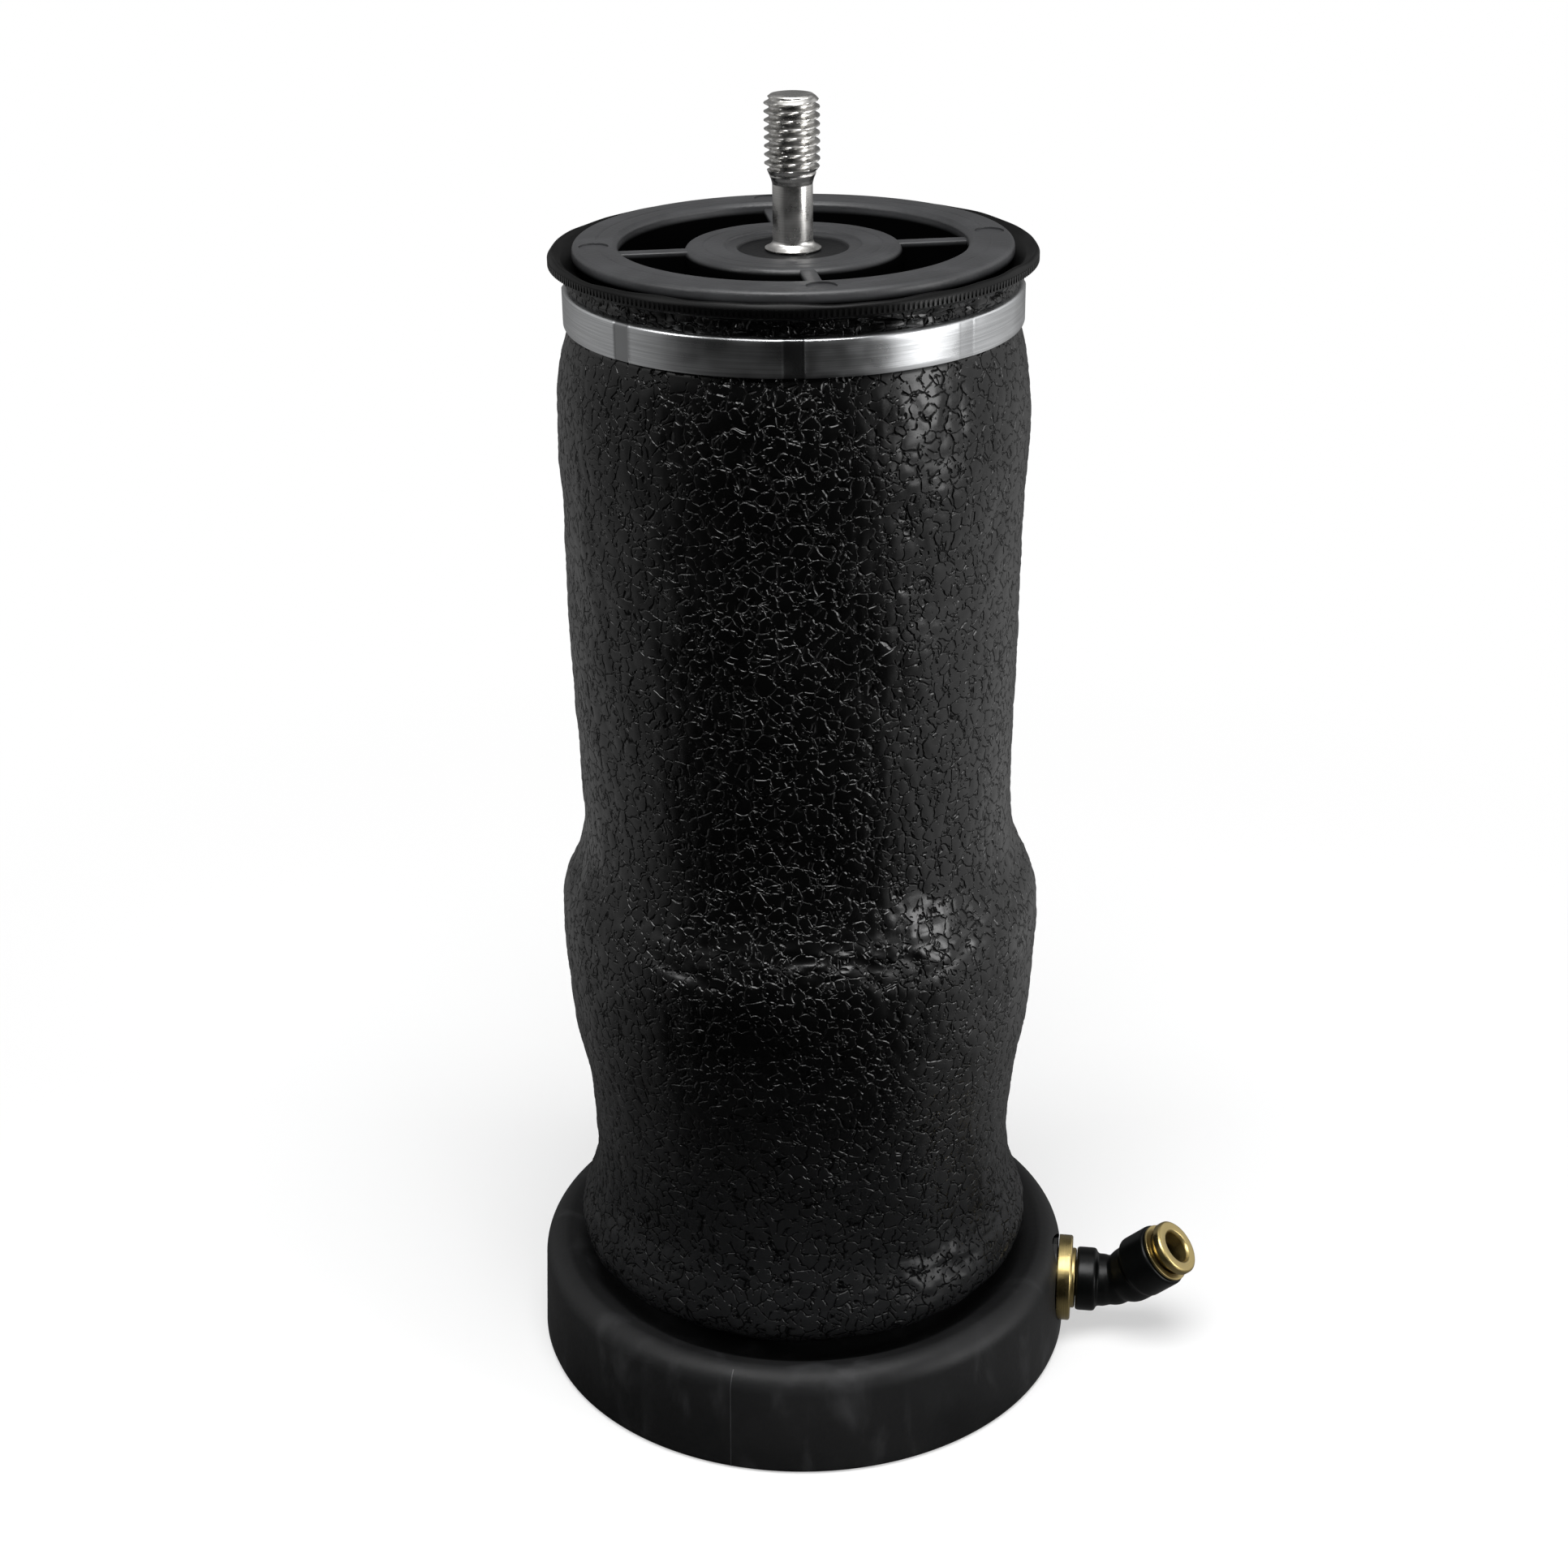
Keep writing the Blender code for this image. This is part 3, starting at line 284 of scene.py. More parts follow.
def sleeve_rubber(settings):
    """Near-black rubber with a broken network of fine grooves, and no grain on the lip."""
    made, tree, shader, _ = finish("sleeve_rubber", 0.30)
    place = attribute(tree, "grain_place", "Vector")
    share = attribute(tree, "grain_share")
    edge, warped = grain_distance(tree, place, settings.cell)
    gaps = noise(tree, place, 1.7 / settings.cell, 2.0)
    groove = times(tree, slope(tree, edge, 0.085), ramp(tree, gaps, 0.43, 0.48))
    small = cell_edges(tree, warped, 1.8 / settings.cell)
    patch = noise(tree, place, 1.3 / settings.cell, 2.0)
    broken = times(tree, slope(tree, small, 0.14), ramp(tree, patch, 0.57, 0.62))
    depth = times(tree, combine(tree, "MAXIMUM", groove, broken), share)
    dust = noise(tree, place, 2600.0, 2.0)
    bump(tree, shader, combine(tree, "SUBTRACT", times(tree, dust, 0.04), depth), settings.groove)
    up = height_of(tree, place)
    # Towards the rolled lobe the rubber's colour rises to ten times as pale.
    paler_low = ramp(tree, up, LOBE_Z, LOBE_Z + 0.070, 1.0, 0.0)
    rubber_paled_low = mix_colour(tree, paler_low, tone(settings.rubber), tone(settings.rubber, 10))
    worn = times(tree, ramp(tree, share, 0.0, 1.0, 0.4, 1.0),
                 ramp(tree, up, LOBE_Z + 0.010, LOBE_Z + 0.042, 0.30, 1.0))
    worn = times(tree, worn, ramp(tree, up, SLEEVE_HIGH.z - 0.060, SLEEVE_HIGH.z - 0.025, 1.0, 0.80))
    cloud = noise(tree, place, 60.0, 3.0)
    smooth_lip = times(tree, combine(tree, "SUBTRACT", 1.0, share), 0.16)
    # Groove bottoms take a darker colour and weaker gloss, painted shade in the grooves.
    feed(tree, shader, Base_Color=mix_colour(tree, depth, rubber_paled_low, tone(settings.rubber, 0.4)),
         Specular_IOR_Level=times(tree, ramp(tree, depth, 0.60, 0.92, 0.41, 0.05), worn),
         Roughness=plus(tree, ramp(tree, cloud, 0.3, 0.7, 0.24, 0.32), smooth_lip))
    return made


def moulded(name, value, roughness, scale=900.0, distance=0.00004, gloss=0.5, smears=0.0):
    """Satin moulded plastic with fine texture, slow variation and pale upright smears."""
    made, tree, shader, place = finish(name, roughness, gloss=gloss)
    bump(tree, shader, noise(tree, place, scale, 3.0), distance)
    slow = noise(tree, place, 45.0, 4.0)
    shade = two_tones(tree, slow, 0.35, 0.75, value, 1.0, 1.25)
    if smears:
        drawn = stretched(tree, place, (110.0, 110.0, 38.0))
        marks = noise(tree, drawn, 1.0, 5.0, Distortion=0.5)
        shade = mix_colour(tree, ramp(tree, marks, 0.52, 0.76, 0.0, smears), shade, tone(value, 3.5))
    feed(tree, shader, Base_Color=shade,
         Roughness=ramp(tree, slow, 0.3, 0.7, roughness - 0.06, roughness + 0.08))
    return made


def turned_plastic(name, value, roughness):
    """Moulded plastic with faint rings round the Z axis on its top, and painted shade down in its pocket:
    near-black colour and no gloss.
    """
    made, tree, shader, place = finish(name, roughness)
    radius = off_axis(tree, place)
    faint = rings(tree, times(tree, radius, 1500.0), 2.0)
    fine = noise(tree, place, 1400.0, 2.0)
    bump(tree, shader, plus(tree, times(tree, faint, 0.8), fine), 0.00005)
    slow = noise(tree, place, 90.0, 4.0)
    shade = two_tones(tree, slow, 0.35, 0.7, value, 1.0, 1.35)
    # Below the hub's top the colour falls to near black and the gloss to none, painted shade in the pocket.
    above_pocket_shade = ramp(tree, height_of(tree, place), HEAD_HIGH.z - 0.0023, HEAD_HIGH.z - 0.0013)
    feed(tree, shader, Base_Color=mix_colour(tree, above_pocket_shade, tone(value, 0.04), shade),
         Specular_IOR_Level=times(tree, above_pocket_shade, 0.34),
         Roughness=ramp(tree, slow, 0.3, 0.7, roughness - 0.07, roughness + 0.08))
    return made


def metal(name, value, roughness, stretch):
    """Metal with fine marks. stretch gives the marks' frequency along X, Y and Z."""
    made, tree, shader, place = finish(name, roughness, metallic=1.0)
    marks = noise(tree, stretched(tree, place, stretch), 1.0, 4.0)
    bump(tree, shader, marks, 0.00001)
    feed(tree, shader, Base_Color=two_tones(tree, marks, 0.3, 0.75, value, 0.82),
         Roughness=ramp(tree, marks, 0.3, 0.7, roughness - 0.07, roughness + 0.10))
    return made


def banded_metal(settings):
    """The clamp band: fine lines round it, and darker metal in the crimp marks."""
    made, tree, shader, place = finish("band_metal", 0.30, metallic=1.0)
    lines = noise(tree, stretched(tree, place, (60.0, 60.0, 5200.0)), 1.0, 5.0)
    slow = noise(tree, place, 130.0, 2.0)
    bump(tree, shader, lines, 0.000012)
    worn = two_tones(tree, lines, 0.3, 0.72, settings.metal, 0.72)
    feed(tree, shader, Base_Color=mix_colour(tree, attribute(tree, "crimp"), worn, tone(settings.metal, 0.42)),
         Roughness=ramp(tree, slow, 0.3, 0.7, 0.24, 0.36))
    return made


def turned_metal(name, value, roughness, axis, distance):
    """Turned metal with fine tool rings round an axis."""
    made, tree, shader, place = finish(name, roughness, metallic=1.0)
    spot, turn, _ = axis.decompose()
    local = add(tree, "ShaderNodeMapping", {"Vector": place, "Location": spot, "Rotation": turn.to_euler()},
                vector_type="TEXTURE").outputs["Vector"]
    radius = off_axis(tree, local)
    along = times(tree, height_of(tree, local), 5200.0)
    across = add(tree, "ShaderNodeMath", {0: radius, 1: 5200.0, 2: along}, operation="MULTIPLY_ADD").outputs[0]
    fine = rings(tree, across, 3.0)
    smudge = noise(tree, place, 260.0, 4.0)
    bump(tree, shader, fine, distance)
    feed(tree, shader, Base_Color=two_tones(tree, fine, 0.25, 0.7, value, 0.78),
         Roughness=ramp(tree, smudge, 0.3, 0.7, roughness - 0.06, roughness + 0.12))
    return made


# Helpers for meshes

def fillet(outline, radius, closed=True):
    """Rounds each corner of an outline by up to radius."""
    steps = 3
    points = [Vector(p) for p in outline]
    rounded = []
    count = len(points)
    for i, corner in enumerate(points):
        before = points[i - 1] - corner
        after = points[(i + 1) % count] - corner
        end = not closed and i in (0, count - 1)
        if end or before.length * after.length == 0 or before.angle(after) > math.radians(172):
            rounded.append(tuple(corner))
            continue
        size = min(radius, 0.45 * before.length, 0.45 * after.length)
        first = corner + before.normalized() * size
        last = corner + after.normalized() * size
        for k in range(steps + 1):
            t = k / steps
            rounded.append(tuple(first * (1 - t) ** 2 + corner * 2 * t * (1 - t) + last * t ** 2))
    return rounded


def near(r, z, *offsets):
    """Points of an outline, given from one radius and height."""
    return [(r + out, z + up) for out, up in offsets]


def arc(r, z, radius, degrees):
    """Points of an outline on an arc about one radius and height."""
    return [(r + radius * math.cos(a), z + radius * math.sin(a)) for a in np.radians(degrees)]


def place_object(name, data):
    """A new object in the scene."""
    obj = bpy.data.objects.new(name, data)
    bpy.context.scene.collection.objects.link(obj)
    return obj


def lathe(name, outline, columns, place=None):
    """A turned mesh about its own Z, from an outline down its outer side, capped where that starts on the axis."""
    rows = np.array(outline, float)
    angles = np.arange(columns) * (math.tau / columns)
    capped = rows[0, 0] == 0
    rows = rows[1:-1] if capped else rows
    count = len(rows)
    verts = np.empty((count, columns, 3))
    verts[:, :, 0] = rows[:, 0:1] * np.cos(angles)
    verts[:, :, 1] = rows[:, 0:1] * np.sin(angles)
    verts[:, :, 2] = rows[:, 1:2]
    points = verts.reshape(-1, 3).tolist()
    faces = []
    for i in range(count - 1 if capped else count):
        low, high = i * columns, ((i + 1) % count) * columns
        for j in range(columns):
            k = (j + 1) % columns
            faces.append((low + j, high + j, high + k, low + k))
    if capped:
        for row, z, turn in ((0, outline[0][1], 1), (count - 1, outline[-1][1], -1)):
            centre = len(points)
            points.append((0.0, 0.0, z))
            for j in range(columns):
                pair = (row * columns + j, row * columns + (j + 1) % columns)
                faces.append((centre, *pair[::turn]))
    mesh = bpy.data.meshes.new(name)
    mesh.from_pydata(points, [], faces)
    if place is not None:
        mesh.transform(place)
    return place_object(name, mesh)


def read_points(mesh, *form):
    """A mesh's points as an array of rows of three, or of another form."""
    points = np.empty(len(mesh.vertices) * 3)
    mesh.vertices.foreach_get("co", points)
    return points.reshape(-1, *form, 3)


def write_points(mesh, points):
    """Moves a mesh's points."""
    mesh.vertices.foreach_set("co", points.ravel())
    mesh.update()


def store(mesh, name, values):
    """Keeps a value for each point of a mesh."""
    layer = mesh.attributes.new(name, "FLOAT", "POINT")
    layer.data.foreach_set("value", np.ascontiguousarray(values, dtype=np.float32).ravel())


def soften(obj, angle):
    """Smooth shading with sharp edges above an angle in degrees."""
    obj.data.shade_smooth()
    obj.data.set_sharp_from_angle(angle=math.radians(angle))


def settled_mesh(obj):
    """The object's mesh with its modifiers or its curve worked out."""
    graph = bpy.context.evaluated_depsgraph_get()
    return bpy.data.meshes.new_from_object(obj.evaluated_get(graph))


def settle(obj):
    """Replaces the object's mesh by its evaluated one and clears the modifiers."""
    mesh = settled_mesh(obj)
    obj.modifiers.clear()
    obj.data = mesh


def cut(obj, cutters):
    """Takes the cutters out of the object, and removes them."""
    for cutter in cutters:
        step = obj.modifiers.new("Cut", "BOOLEAN")
        step.operation = "DIFFERENCE"
        step.object = cutter
        step.solver = "EXACT"
    settle(obj)
    for cutter in cutters:
        bpy.data.objects.remove(cutter)


def from_bmesh(name, bm):
    """An object from a bmesh, which is freed."""
    mesh = bpy.data.meshes.new(name)
    bm.to_mesh(mesh)
    bm.free()
    return place_object(name, mesh)


def rod(name, radius, low, high, x=0.0, y=0.0):
    """An upright cylinder, used as a cutter."""
    bm = bmesh.new()
    bmesh.ops.create_cone(bm, cap_ends=True, segments=48, radius1=radius, radius2=radius, depth=high - low,
                          matrix=Matrix.Translation((x, y, (low + high) / 2)))
    return from_bmesh(name, bm)


def block(name, low, high, turn=0.0):
    """A box between two corners, turned about Z."""
    size = [b - a for a, b in zip(low, high)]
    middle = [(a + b) / 2 for a, b in zip(low, high)]
    bm = bmesh.new()
    bmesh.ops.create_cube(bm, size=1.0, matrix=Matrix.Rotation(turn, 4, "Z") @ Matrix.Translation(middle)
                          @ Matrix.Diagonal((*size, 1.0)))
    return from_bmesh(name, bm)


def declare(replaced):
    """Hides the frame's nodes that a piece replaces."""
    if replaced:
        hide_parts(*replaced)


def dress(obj, material, body, replaced=(), sharp=None):
    """Gives a finished piece its shading, material and body, and hides the nodes it replaces."""
    if sharp:
        soften(obj, sharp)
    obj.data.materials.clear()
    obj.data.materials.append(material)
    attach(obj, body)
    declare(replaced)


def start_group(name, **sockets):
    """A Geometry Nodes tree with geometry in and out, a material and more named inputs, and its inputs' values."""
    tree = bpy.data.node_groups.new(name, "GeometryNodeTree")
    inputs = {"Geometry": "Geometry", **sockets, "Material": "Material"}
    for key, kind in inputs.items():
        tree.interface.new_socket(key, in_out="INPUT", socket_type="NodeSocket" + kind)
    tree.interface.new_socket("Geometry", in_out="OUTPUT", socket_type="NodeSocketGeometry")
    return tree, tree.nodes.new("NodeGroupInput").outputs


def end_group(tree, geometry, material):
    """Realizes the instances, sets the material and gives the result."""
    real = add(tree, "GeometryNodeRealizeInstances", {0: geometry}).outputs[0]
    done = add(tree, "GeometryNodeSetMaterial", {"Geometry": real, "Material": material}).outputs[0]
    tree.links.new(done, tree.nodes.new("NodeGroupOutput").inputs[0])
    return tree


def run_group(obj, tree, **values):
    """Runs a Geometry Nodes tree on an object and makes the result its mesh."""
    step = obj.modifiers.new(tree.name, "NODES")
    step.node_group = tree
    for item in tree.interface.items_tree:
        if item.in_out == "INPUT" and item.name in values:
            step[item.identifier] = values[item.name]
    settle(obj)


def ring_tree():
    """Geometry Nodes: copies of the object's mesh round Z, each turned to face out."""
    tree, given = start_group("ring_of_copies", Count="Int", Start="Float")
    points = add(tree, "GeometryNodePoints", {"Count": given["Count"]}).outputs[0]
    index = add(tree, "GeometryNodeInputIndex").outputs[0]
    share = combine(tree, "DIVIDE", index, given["Count"])
    angle = add(tree, "ShaderNodeMath", {0: share, 1: math.tau, 2: given["Start"]},
                operation="MULTIPLY_ADD").outputs[0]
    turn = add(tree, "ShaderNodeCombineXYZ", {"Z": angle}).outputs[0]
    copies = add(tree, "GeometryNodeInstanceOnPoints", {"Points": points, "Instance": given["Geometry"],
                                                        "Rotation": turn}).outputs[0]
    return end_group(tree, copies, given["Material"])


def ring_of(obj, count, start, material):
    """Repeats an object's mesh round Z and makes the result its mesh."""
    tree = bpy.data.node_groups.get("ring_of_copies") or ring_tree()
    run_group(obj, tree, Count=count, Start=start, Material=material)


# The rubber sleeve

SLEEVE_R = 0.0430
NECK_R = 0.0406
LIP_R = 0.0442
LIP_TOP = SLEEVE_HIGH.z
WALL = 0.0030
BULGE = 0.0045
BULGE_Z = 0.1010
LOBE_R = 0.0413
LOBE_Z = 0.0285
LOBE_SECTION = 0.0055
INNER_LEG_R = LOBE_R - LOBE_SECTION
SEAT_R = 0.0386
SEAT_LOW = 0.0975
SEAT_HIGH = 0.1049
WAIST_Z = 0.1260


def smooth_outline(points, step):
    """A smooth curve through points, sampled about every step of its length."""
    knots = np.array(points, float)
    runs = np.linalg.norm(np.diff(knots, axis=0), axis=1)[:, None]
    rates = np.diff(knots, axis=0) / runs
    middle = (rates[:-1] * runs[1:] + rates[1:] * runs[:-1]) / (runs[:-1] + runs[1:])
    slopes = np.vstack([rates[:1], middle, rates[-1:]])
    samples = []
    for i, run in enumerate(runs[:, 0]):
        count = max(2, math.ceil(run / step))
        for t in np.arange(count) / count:
            samples.append((2 * t ** 3 - 3 * t ** 2 + 1) * knots[i] + (3 * t ** 2 - 2 * t ** 3) * knots[i + 1]
                           + run * ((t ** 3 - 2 * t ** 2 + t) * slopes[i] + (t ** 3 - t ** 2) * slopes[i + 1]))
    samples.append(knots[-1])
    return [tuple(s) for s in samples]


def outer_leg():
    """Radius and height down the sleeve's outside, from the upper band to the rolled lobe."""
    top = BAND_LOW.z - 0.0003
    fall = top - WAIST_Z
    upper = ((0.0, -0.0019), (0.03, -0.0011), (0.09, -0.0001), (0.19, 0.0006), (0.36, 0.0002), (0.58, 0.0),
             (0.75, -0.0003), (1.0, -0.0010))
    bulge = ((0.0220, -0.22), (0.0175, -0.16), (0.0140, 0.00), (0.0110, 0.23), (0.0075, 0.62), (0.0035, 0.91),
             (-0.0020, 1.0), (-0.0085, 0.93), (-0.0150, 0.84), (-0.0220, 0.75), (-0.0270, 0.58),
             (-0.0330, 0.33), (-0.0400, 0.13), (-0.0480, 0.0), (-0.0560, -0.02))
    lobe = ((0.0105, 0.14), (0.0078, 0.40), (0.0050, 0.68), (0.0025, 0.90))
    flare = LOBE_R + LOBE_SECTION - SLEEVE_R
    return [*[(SLEEVE_R + proud, top - share * fall) for share, proud in upper],
            *[(SLEEVE_R + share * BULGE, BULGE_Z + height) for height, share in bulge],
            *[(SLEEVE_R + share * flare, LOBE_Z + height) for height, share in lobe],
            *arc(LOBE_R, LOBE_Z, LOBE_SECTION, np.arange(0, -91, -22.5))]


def sleeve_outline():
    """The closed outline: lip, outer leg, lobe, inner leg, and back up inside with few points."""
    neck = BAND_HIGH.z
    lip = near(LIP_R, LIP_TOP, (-0.0023, -0.0013), (-0.0013, -0.0005), (-0.0008, 0), (-0.0003, -0.0001),
               (0, -0.0006), (0, -0.0020), (-0.0005, -0.0027), (-0.0017, -0.0033))
    lip += [(NECK_R + 0.0013, LIP_TOP - 0.0042)]
    lip = smooth_outline(lip + near(NECK_R, neck, (0.0010, 0.0010), (0.0004, 0.0002), (0, -0.0010)), 0.0004)
    under_band = near(NECK_R, BAND_LOW.z, (0, 0.0020), (0, 0.0002))
    outer = smooth_outline(outer_leg(), 0.00092)
    bend = SEAT_LOW - 0.0068
    inner = arc(LOBE_R, LOBE_Z, -LOBE_SECTION, (67.5, 45, 22.5, 0))
    inner += [(INNER_LEG_R, bend), (SEAT_R, SEAT_LOW), (SEAT_R, SEAT_HIGH), (SEAT_R + WALL - 0.0003, SEAT_HIGH),
              (SEAT_R + WALL - 0.0003, SEAT_LOW), (INNER_LEG_R + WALL, bend)]
    inner += arc(LOBE_R, LOBE_Z, WALL - LOBE_SECTION, np.arange(0, 181, 45))
    back = [(r - WALL, z) for r, z in outer_leg()[-9:1:-3]]
    top = [(0.0385, BAND_LOW.z), *near(0, HEAD_HIGH.z, (0.0385, -0.0053), (0.0399, -0.0037),
                                       (LIP_R - 0.0028, -0.0029))]
    start = len(lip) + len(under_band)
    return lip + under_band + outer + inner + back + top, start, start + len(outer)


def relief_tree(settings):
    """Geometry Nodes: soft lumps, compressed wrinkles and grain cells pushed out along the sleeve's skin."""
    tree, given = start_group("sleeve_relief", Relief="Float", Lumps="Float")
    place = add(tree, "GeometryNodeInputPosition").outputs[0]
    kept = add(tree, "GeometryNodeStoreNamedAttribute", {"Geometry": given["Geometry"], "Name": "grain_place",
                                                         "Value": place},
               data_type="FLOAT_VECTOR", domain="POINT").outputs[0]
    skin, folds = (add(tree, "GeometryNodeInputNamedAttribute", {"Name": name}, data_type="FLOAT").outputs[0]
                   for name in ("skin", "folds"))
    edge, _ = grain_distance(tree, place, settings.cell)
    cells = times(tree, ramp(tree, edge, 0.0, 0.28), given["Relief"])
    soft = noise(tree, place, 85.0, 1.0)
    lumps = times(tree, combine(tree, "SUBTRACT", soft, 0.5), given["Lumps"])
    crease = noise(tree, vector(tree, "MULTIPLY", place, (90.0, 90.0, 420.0)), 1.0, 1.5, Distortion=0.4)
    ridges = combine(tree, "ABSOLUTE", combine(tree, "SUBTRACT", crease, 0.5), 0.0)
    wrinkle = times(tree, times(tree, ridges, folds), -0.0078)
    height = times(tree, plus(tree, plus(tree, cells, lumps), wrinkle), skin)
    normal = add(tree, "GeometryNodeInputNormal").outputs[0]
    moved = add(tree, "GeometryNodeSetPosition", {"Geometry": kept,
                                                  "Offset": vector(tree, "SCALE", normal, height)}).outputs[0]
    return end_group(tree, moved, given["Material"])


def bell(values, middle, width):
    """A bell of height 1 about the middle."""
    return np.exp(-((values - middle) / width) ** 2)


class MakeSleeve(bpy.types.Operator):
    """The rubber sleeve with its lip, bulge, rolled lobe and embossed grain"""
    bl_idname = "airspring.sleeve"
    bl_label = "Rubber sleeve"

    def execute(self, context):
        settings = context.scene.airspring_sleeve
        rubber = sleeve_rubber(settings)
        outline, first, last = sleeve_outline()
        columns = 384
        sleeve = lathe("sleeve_skin", outline, columns)
        mesh = sleeve.data
        points = read_points(mesh, columns)
        rows = np.arange(len(outline))
        skin = np.clip(np.minimum(rows - first - 2, last + 2 - rows) / 5, 0, 1)
        heights = points[:, 0, 2]
        outside = points[:, 0, 0] > NECK_R - 0.0001
        under_lip = np.clip(np.minimum(LIP_TOP - 0.0030 - heights, heights - BAND_HIGH.z) / 0.0006, 0, 1) * outside
        skin = np.maximum(skin, under_lip)
        grain = np.clip((LIP_TOP - 0.0027 - heights) / 0.0006, 0, 1)
        around = np.arctan2(points[0, :, 1], points[0, :, 0])
        degrees = np.degrees(around)
        front = bell(degrees, -66, 24)[None, :]
        crown = bell(heights, 0.1085, 0.0042)[:, None]
        low = bell(heights, 0.0345, 0.0060)[:, None]
        folds = crown * (0.15 + 0.85 * front) + 0.35 * low + 0.7 * under_lip[:, None]
        self.crease(points, degrees)
        self.flash(points, around)
        write_points(mesh, points)
        store(mesh, "skin", np.repeat(skin, columns))
        store(mesh, "grain_share", np.repeat(grain, columns))
        store(mesh, "folds", folds)
        run_group(sleeve, relief_tree(settings), Relief=settings.pillow, Lumps=settings.lump * 4, Material=rubber)
        self.lean(sleeve.data, settings.bow)
        for name in ("skin", "folds"):
            sleeve.data.attributes.remove(sleeve.data.attributes[name])
        sleeve.data.shade_smooth()
        declare(["sleeve"])
        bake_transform(sleeve)
        return {"FINISHED"}

    @staticmethod
    def crease(points, degrees):
        """The slanting crease across the left of the bulge, and the soft lump at its right."""
        radius = np.hypot(points[:, :, 0], points[:, :, 1])
        heights = points[:, :, 2]
        run = np.clip((degrees + 128) / 36, 0, 1)
        centre = (0.1085 - 0.0060 * run)[None, :]
        valley = 0.0008 * np.sin(math.pi * run)[None, :] * bell(heights, centre, 0.0014)
        lump = 0.0008 * np.exp(-((degrees[None, :] + 48) / 9) ** 2 - ((heights - 0.1100) / 0.0055) ** 2)
        scale = 1 + np.where(radius > SLEEVE_R + 0.0005, lump - valley, 0) / radius
        points[:, :, :2] *= scale[:, :, None]

    @staticmethod
    def flash(points, around):
        """The uneven top edge that the mould left on the lip."""
        wave = np.sin(5 * around + 1.0) + 0.7 * np.sin(11 * around + 2.2) + 0.5 * np.sin(23 * around)
        share = np.clip((points[:, :, 2] - LIP_TOP + 0.0012) / 0.0008, 0, 1)
        points[:, :, :2] *= (1 + share * 0.003 * wave)[:, :, None]
        points[:, :, 2] -= share * 0.00012 * (2.2 + wave)

    @staticmethod
    def lean(mesh, bow):
        """Leans the upper sleeve a little to the left, between the bulge and the band."""
        points = read_points(mesh)
        share = np.clip((points[:, 2] - 0.106) / (BAND_LOW.z - 0.106), 0, 1)
        points[:, 0] -= bow * np.sin(math.pi * share)
        write_points(mesh, points)


class MakeLipTicks(bpy.types.Operator):
    """The row of fine moulded ticks round the sleeve's lip"""
    bl_idname = "airspring.lip_ticks"
    bl_label = "Lip ticks"

    def execute(self, context):
        settings = context.scene.airspring_sleeve
        half, low = 0.00024, LIP_TOP - 0.0023
        tick = block("lip_ticks", (LIP_R - 0.0004, -half, low), (LIP_R + 0.00018, half, low + 0.0012))
        rubber = moulded("lip_rubber", settings.rubber, 0.34, gloss=0.3)
        ring_of(tick, settings.tick_count, 0.0, rubber)
        dress(tick, rubber, "head")
        return {"FINISHED"}


# The head plate, the stud and the upper band

PLATE_TOP = HEAD_HIGH.z
HUB_TOP = PLATE_TOP - 0.0010
POCKET_FLOOR = HEAD_LOW.z + 0.0060
HUB_R = 0.0197
RIM_INNER_R = 0.0318
PLATE_R = HEAD_HIGH.x - 0.00003
SKIRT_R = 0.0382
RIB_TURN = math.radians(15.5 - 90)


def plate_outline():
    """The head plate from its bore, over the hub, down the pocket, over the rim and down the skirt."""
    bore_r, well_r, recess_r = 0.0043, 0.0123, 0.0100
    outline = near(0, HUB_TOP, (bore_r, -0.0010), (recess_r, -0.0010), (recess_r + 0.00015, -0.00045),
                   (well_r, -0.00045), (well_r + 0.0002, 0), (0.0158, 0), (0.0160, -0.00012), (0.0163, -0.00012),
                   (0.0165, 0))
    outline += near(HUB_R, HUB_TOP, (-0.0012, 0), (-0.0005, -0.00025), (-0.0001, -0.0008), (0.0002, -0.0018))
    outline += [(HUB_R + 0.0006, POCKET_FLOOR), (RIM_INNER_R - 0.0006, POCKET_FLOOR)]
    outline += near(RIM_INNER_R, PLATE_TOP, (-0.0001, -0.0007), (0.0007, 0))
    outline += near(0, PLATE_TOP, (0.0352, 0), (0.0354, -0.00010), (0.0357, -0.00010), (0.0359, 0))
    outline += near(PLATE_R, PLATE_TOP, (-0.0007, -0.00005), (-0.00015, -0.0005), (0, -0.0012), (0, -0.0025),
                    (-0.0007, -0.0027), (-0.0007, -0.0036))
    outline += [(SKIRT_R, PLATE_TOP - 0.0049)]
    outline += near(0, HEAD_LOW.z, (SKIRT_R, 0.0010), (SKIRT_R - 0.0010, 0), (well_r, 0), (well_r, 0.0080),
                    (0.0064, 0.0080), (0.0064, 0.0098), (bore_r, 0.0098))
    return fillet(outline, 0.00032)


class MakeHead(bpy.types.Operator):
    """The moulded head plate with its ribs and ejector marks"""
    bl_idname = "airspring.head"
    bl_label = "Head plate"

    def execute(self, context):
        settings = context.scene.airspring_head
        plastic = turned_plastic("head_composite", settings.plate, 0.42)
        plate = lathe("head_plate", plate_outline(), 256)
        turns = [RIB_TURN + math.tau * i / settings.ribs for i in range(settings.ribs)]
        cut(plate, [rod("ejector_mark", 0.0027, PLATE_TOP - 0.00035, PLATE_TOP + 0.001,
                        x=0.0360 * math.cos(turn), y=0.0360 * math.sin(turn)) for turn in turns])
        dress(plate, plastic, "head", ["bead_plate"], sharp=40)
        half = settings.rib_width / 2
        rib = block("plate_ribs", (HUB_R - 0.0010, -half, POCKET_FLOOR - 0.0005),
                    (RIM_INNER_R + 0.0009, half, HUB_TOP - 0.0003))
        edge = rib.modifiers.new("Rounded", "BEVEL")
        edge.width = 0.00035
        edge.segments = 3
        ring_of(rib, settings.ribs, RIB_TURN, plastic)
        dress(rib, plastic, "head", sharp=50)
        return {"FINISHED"}


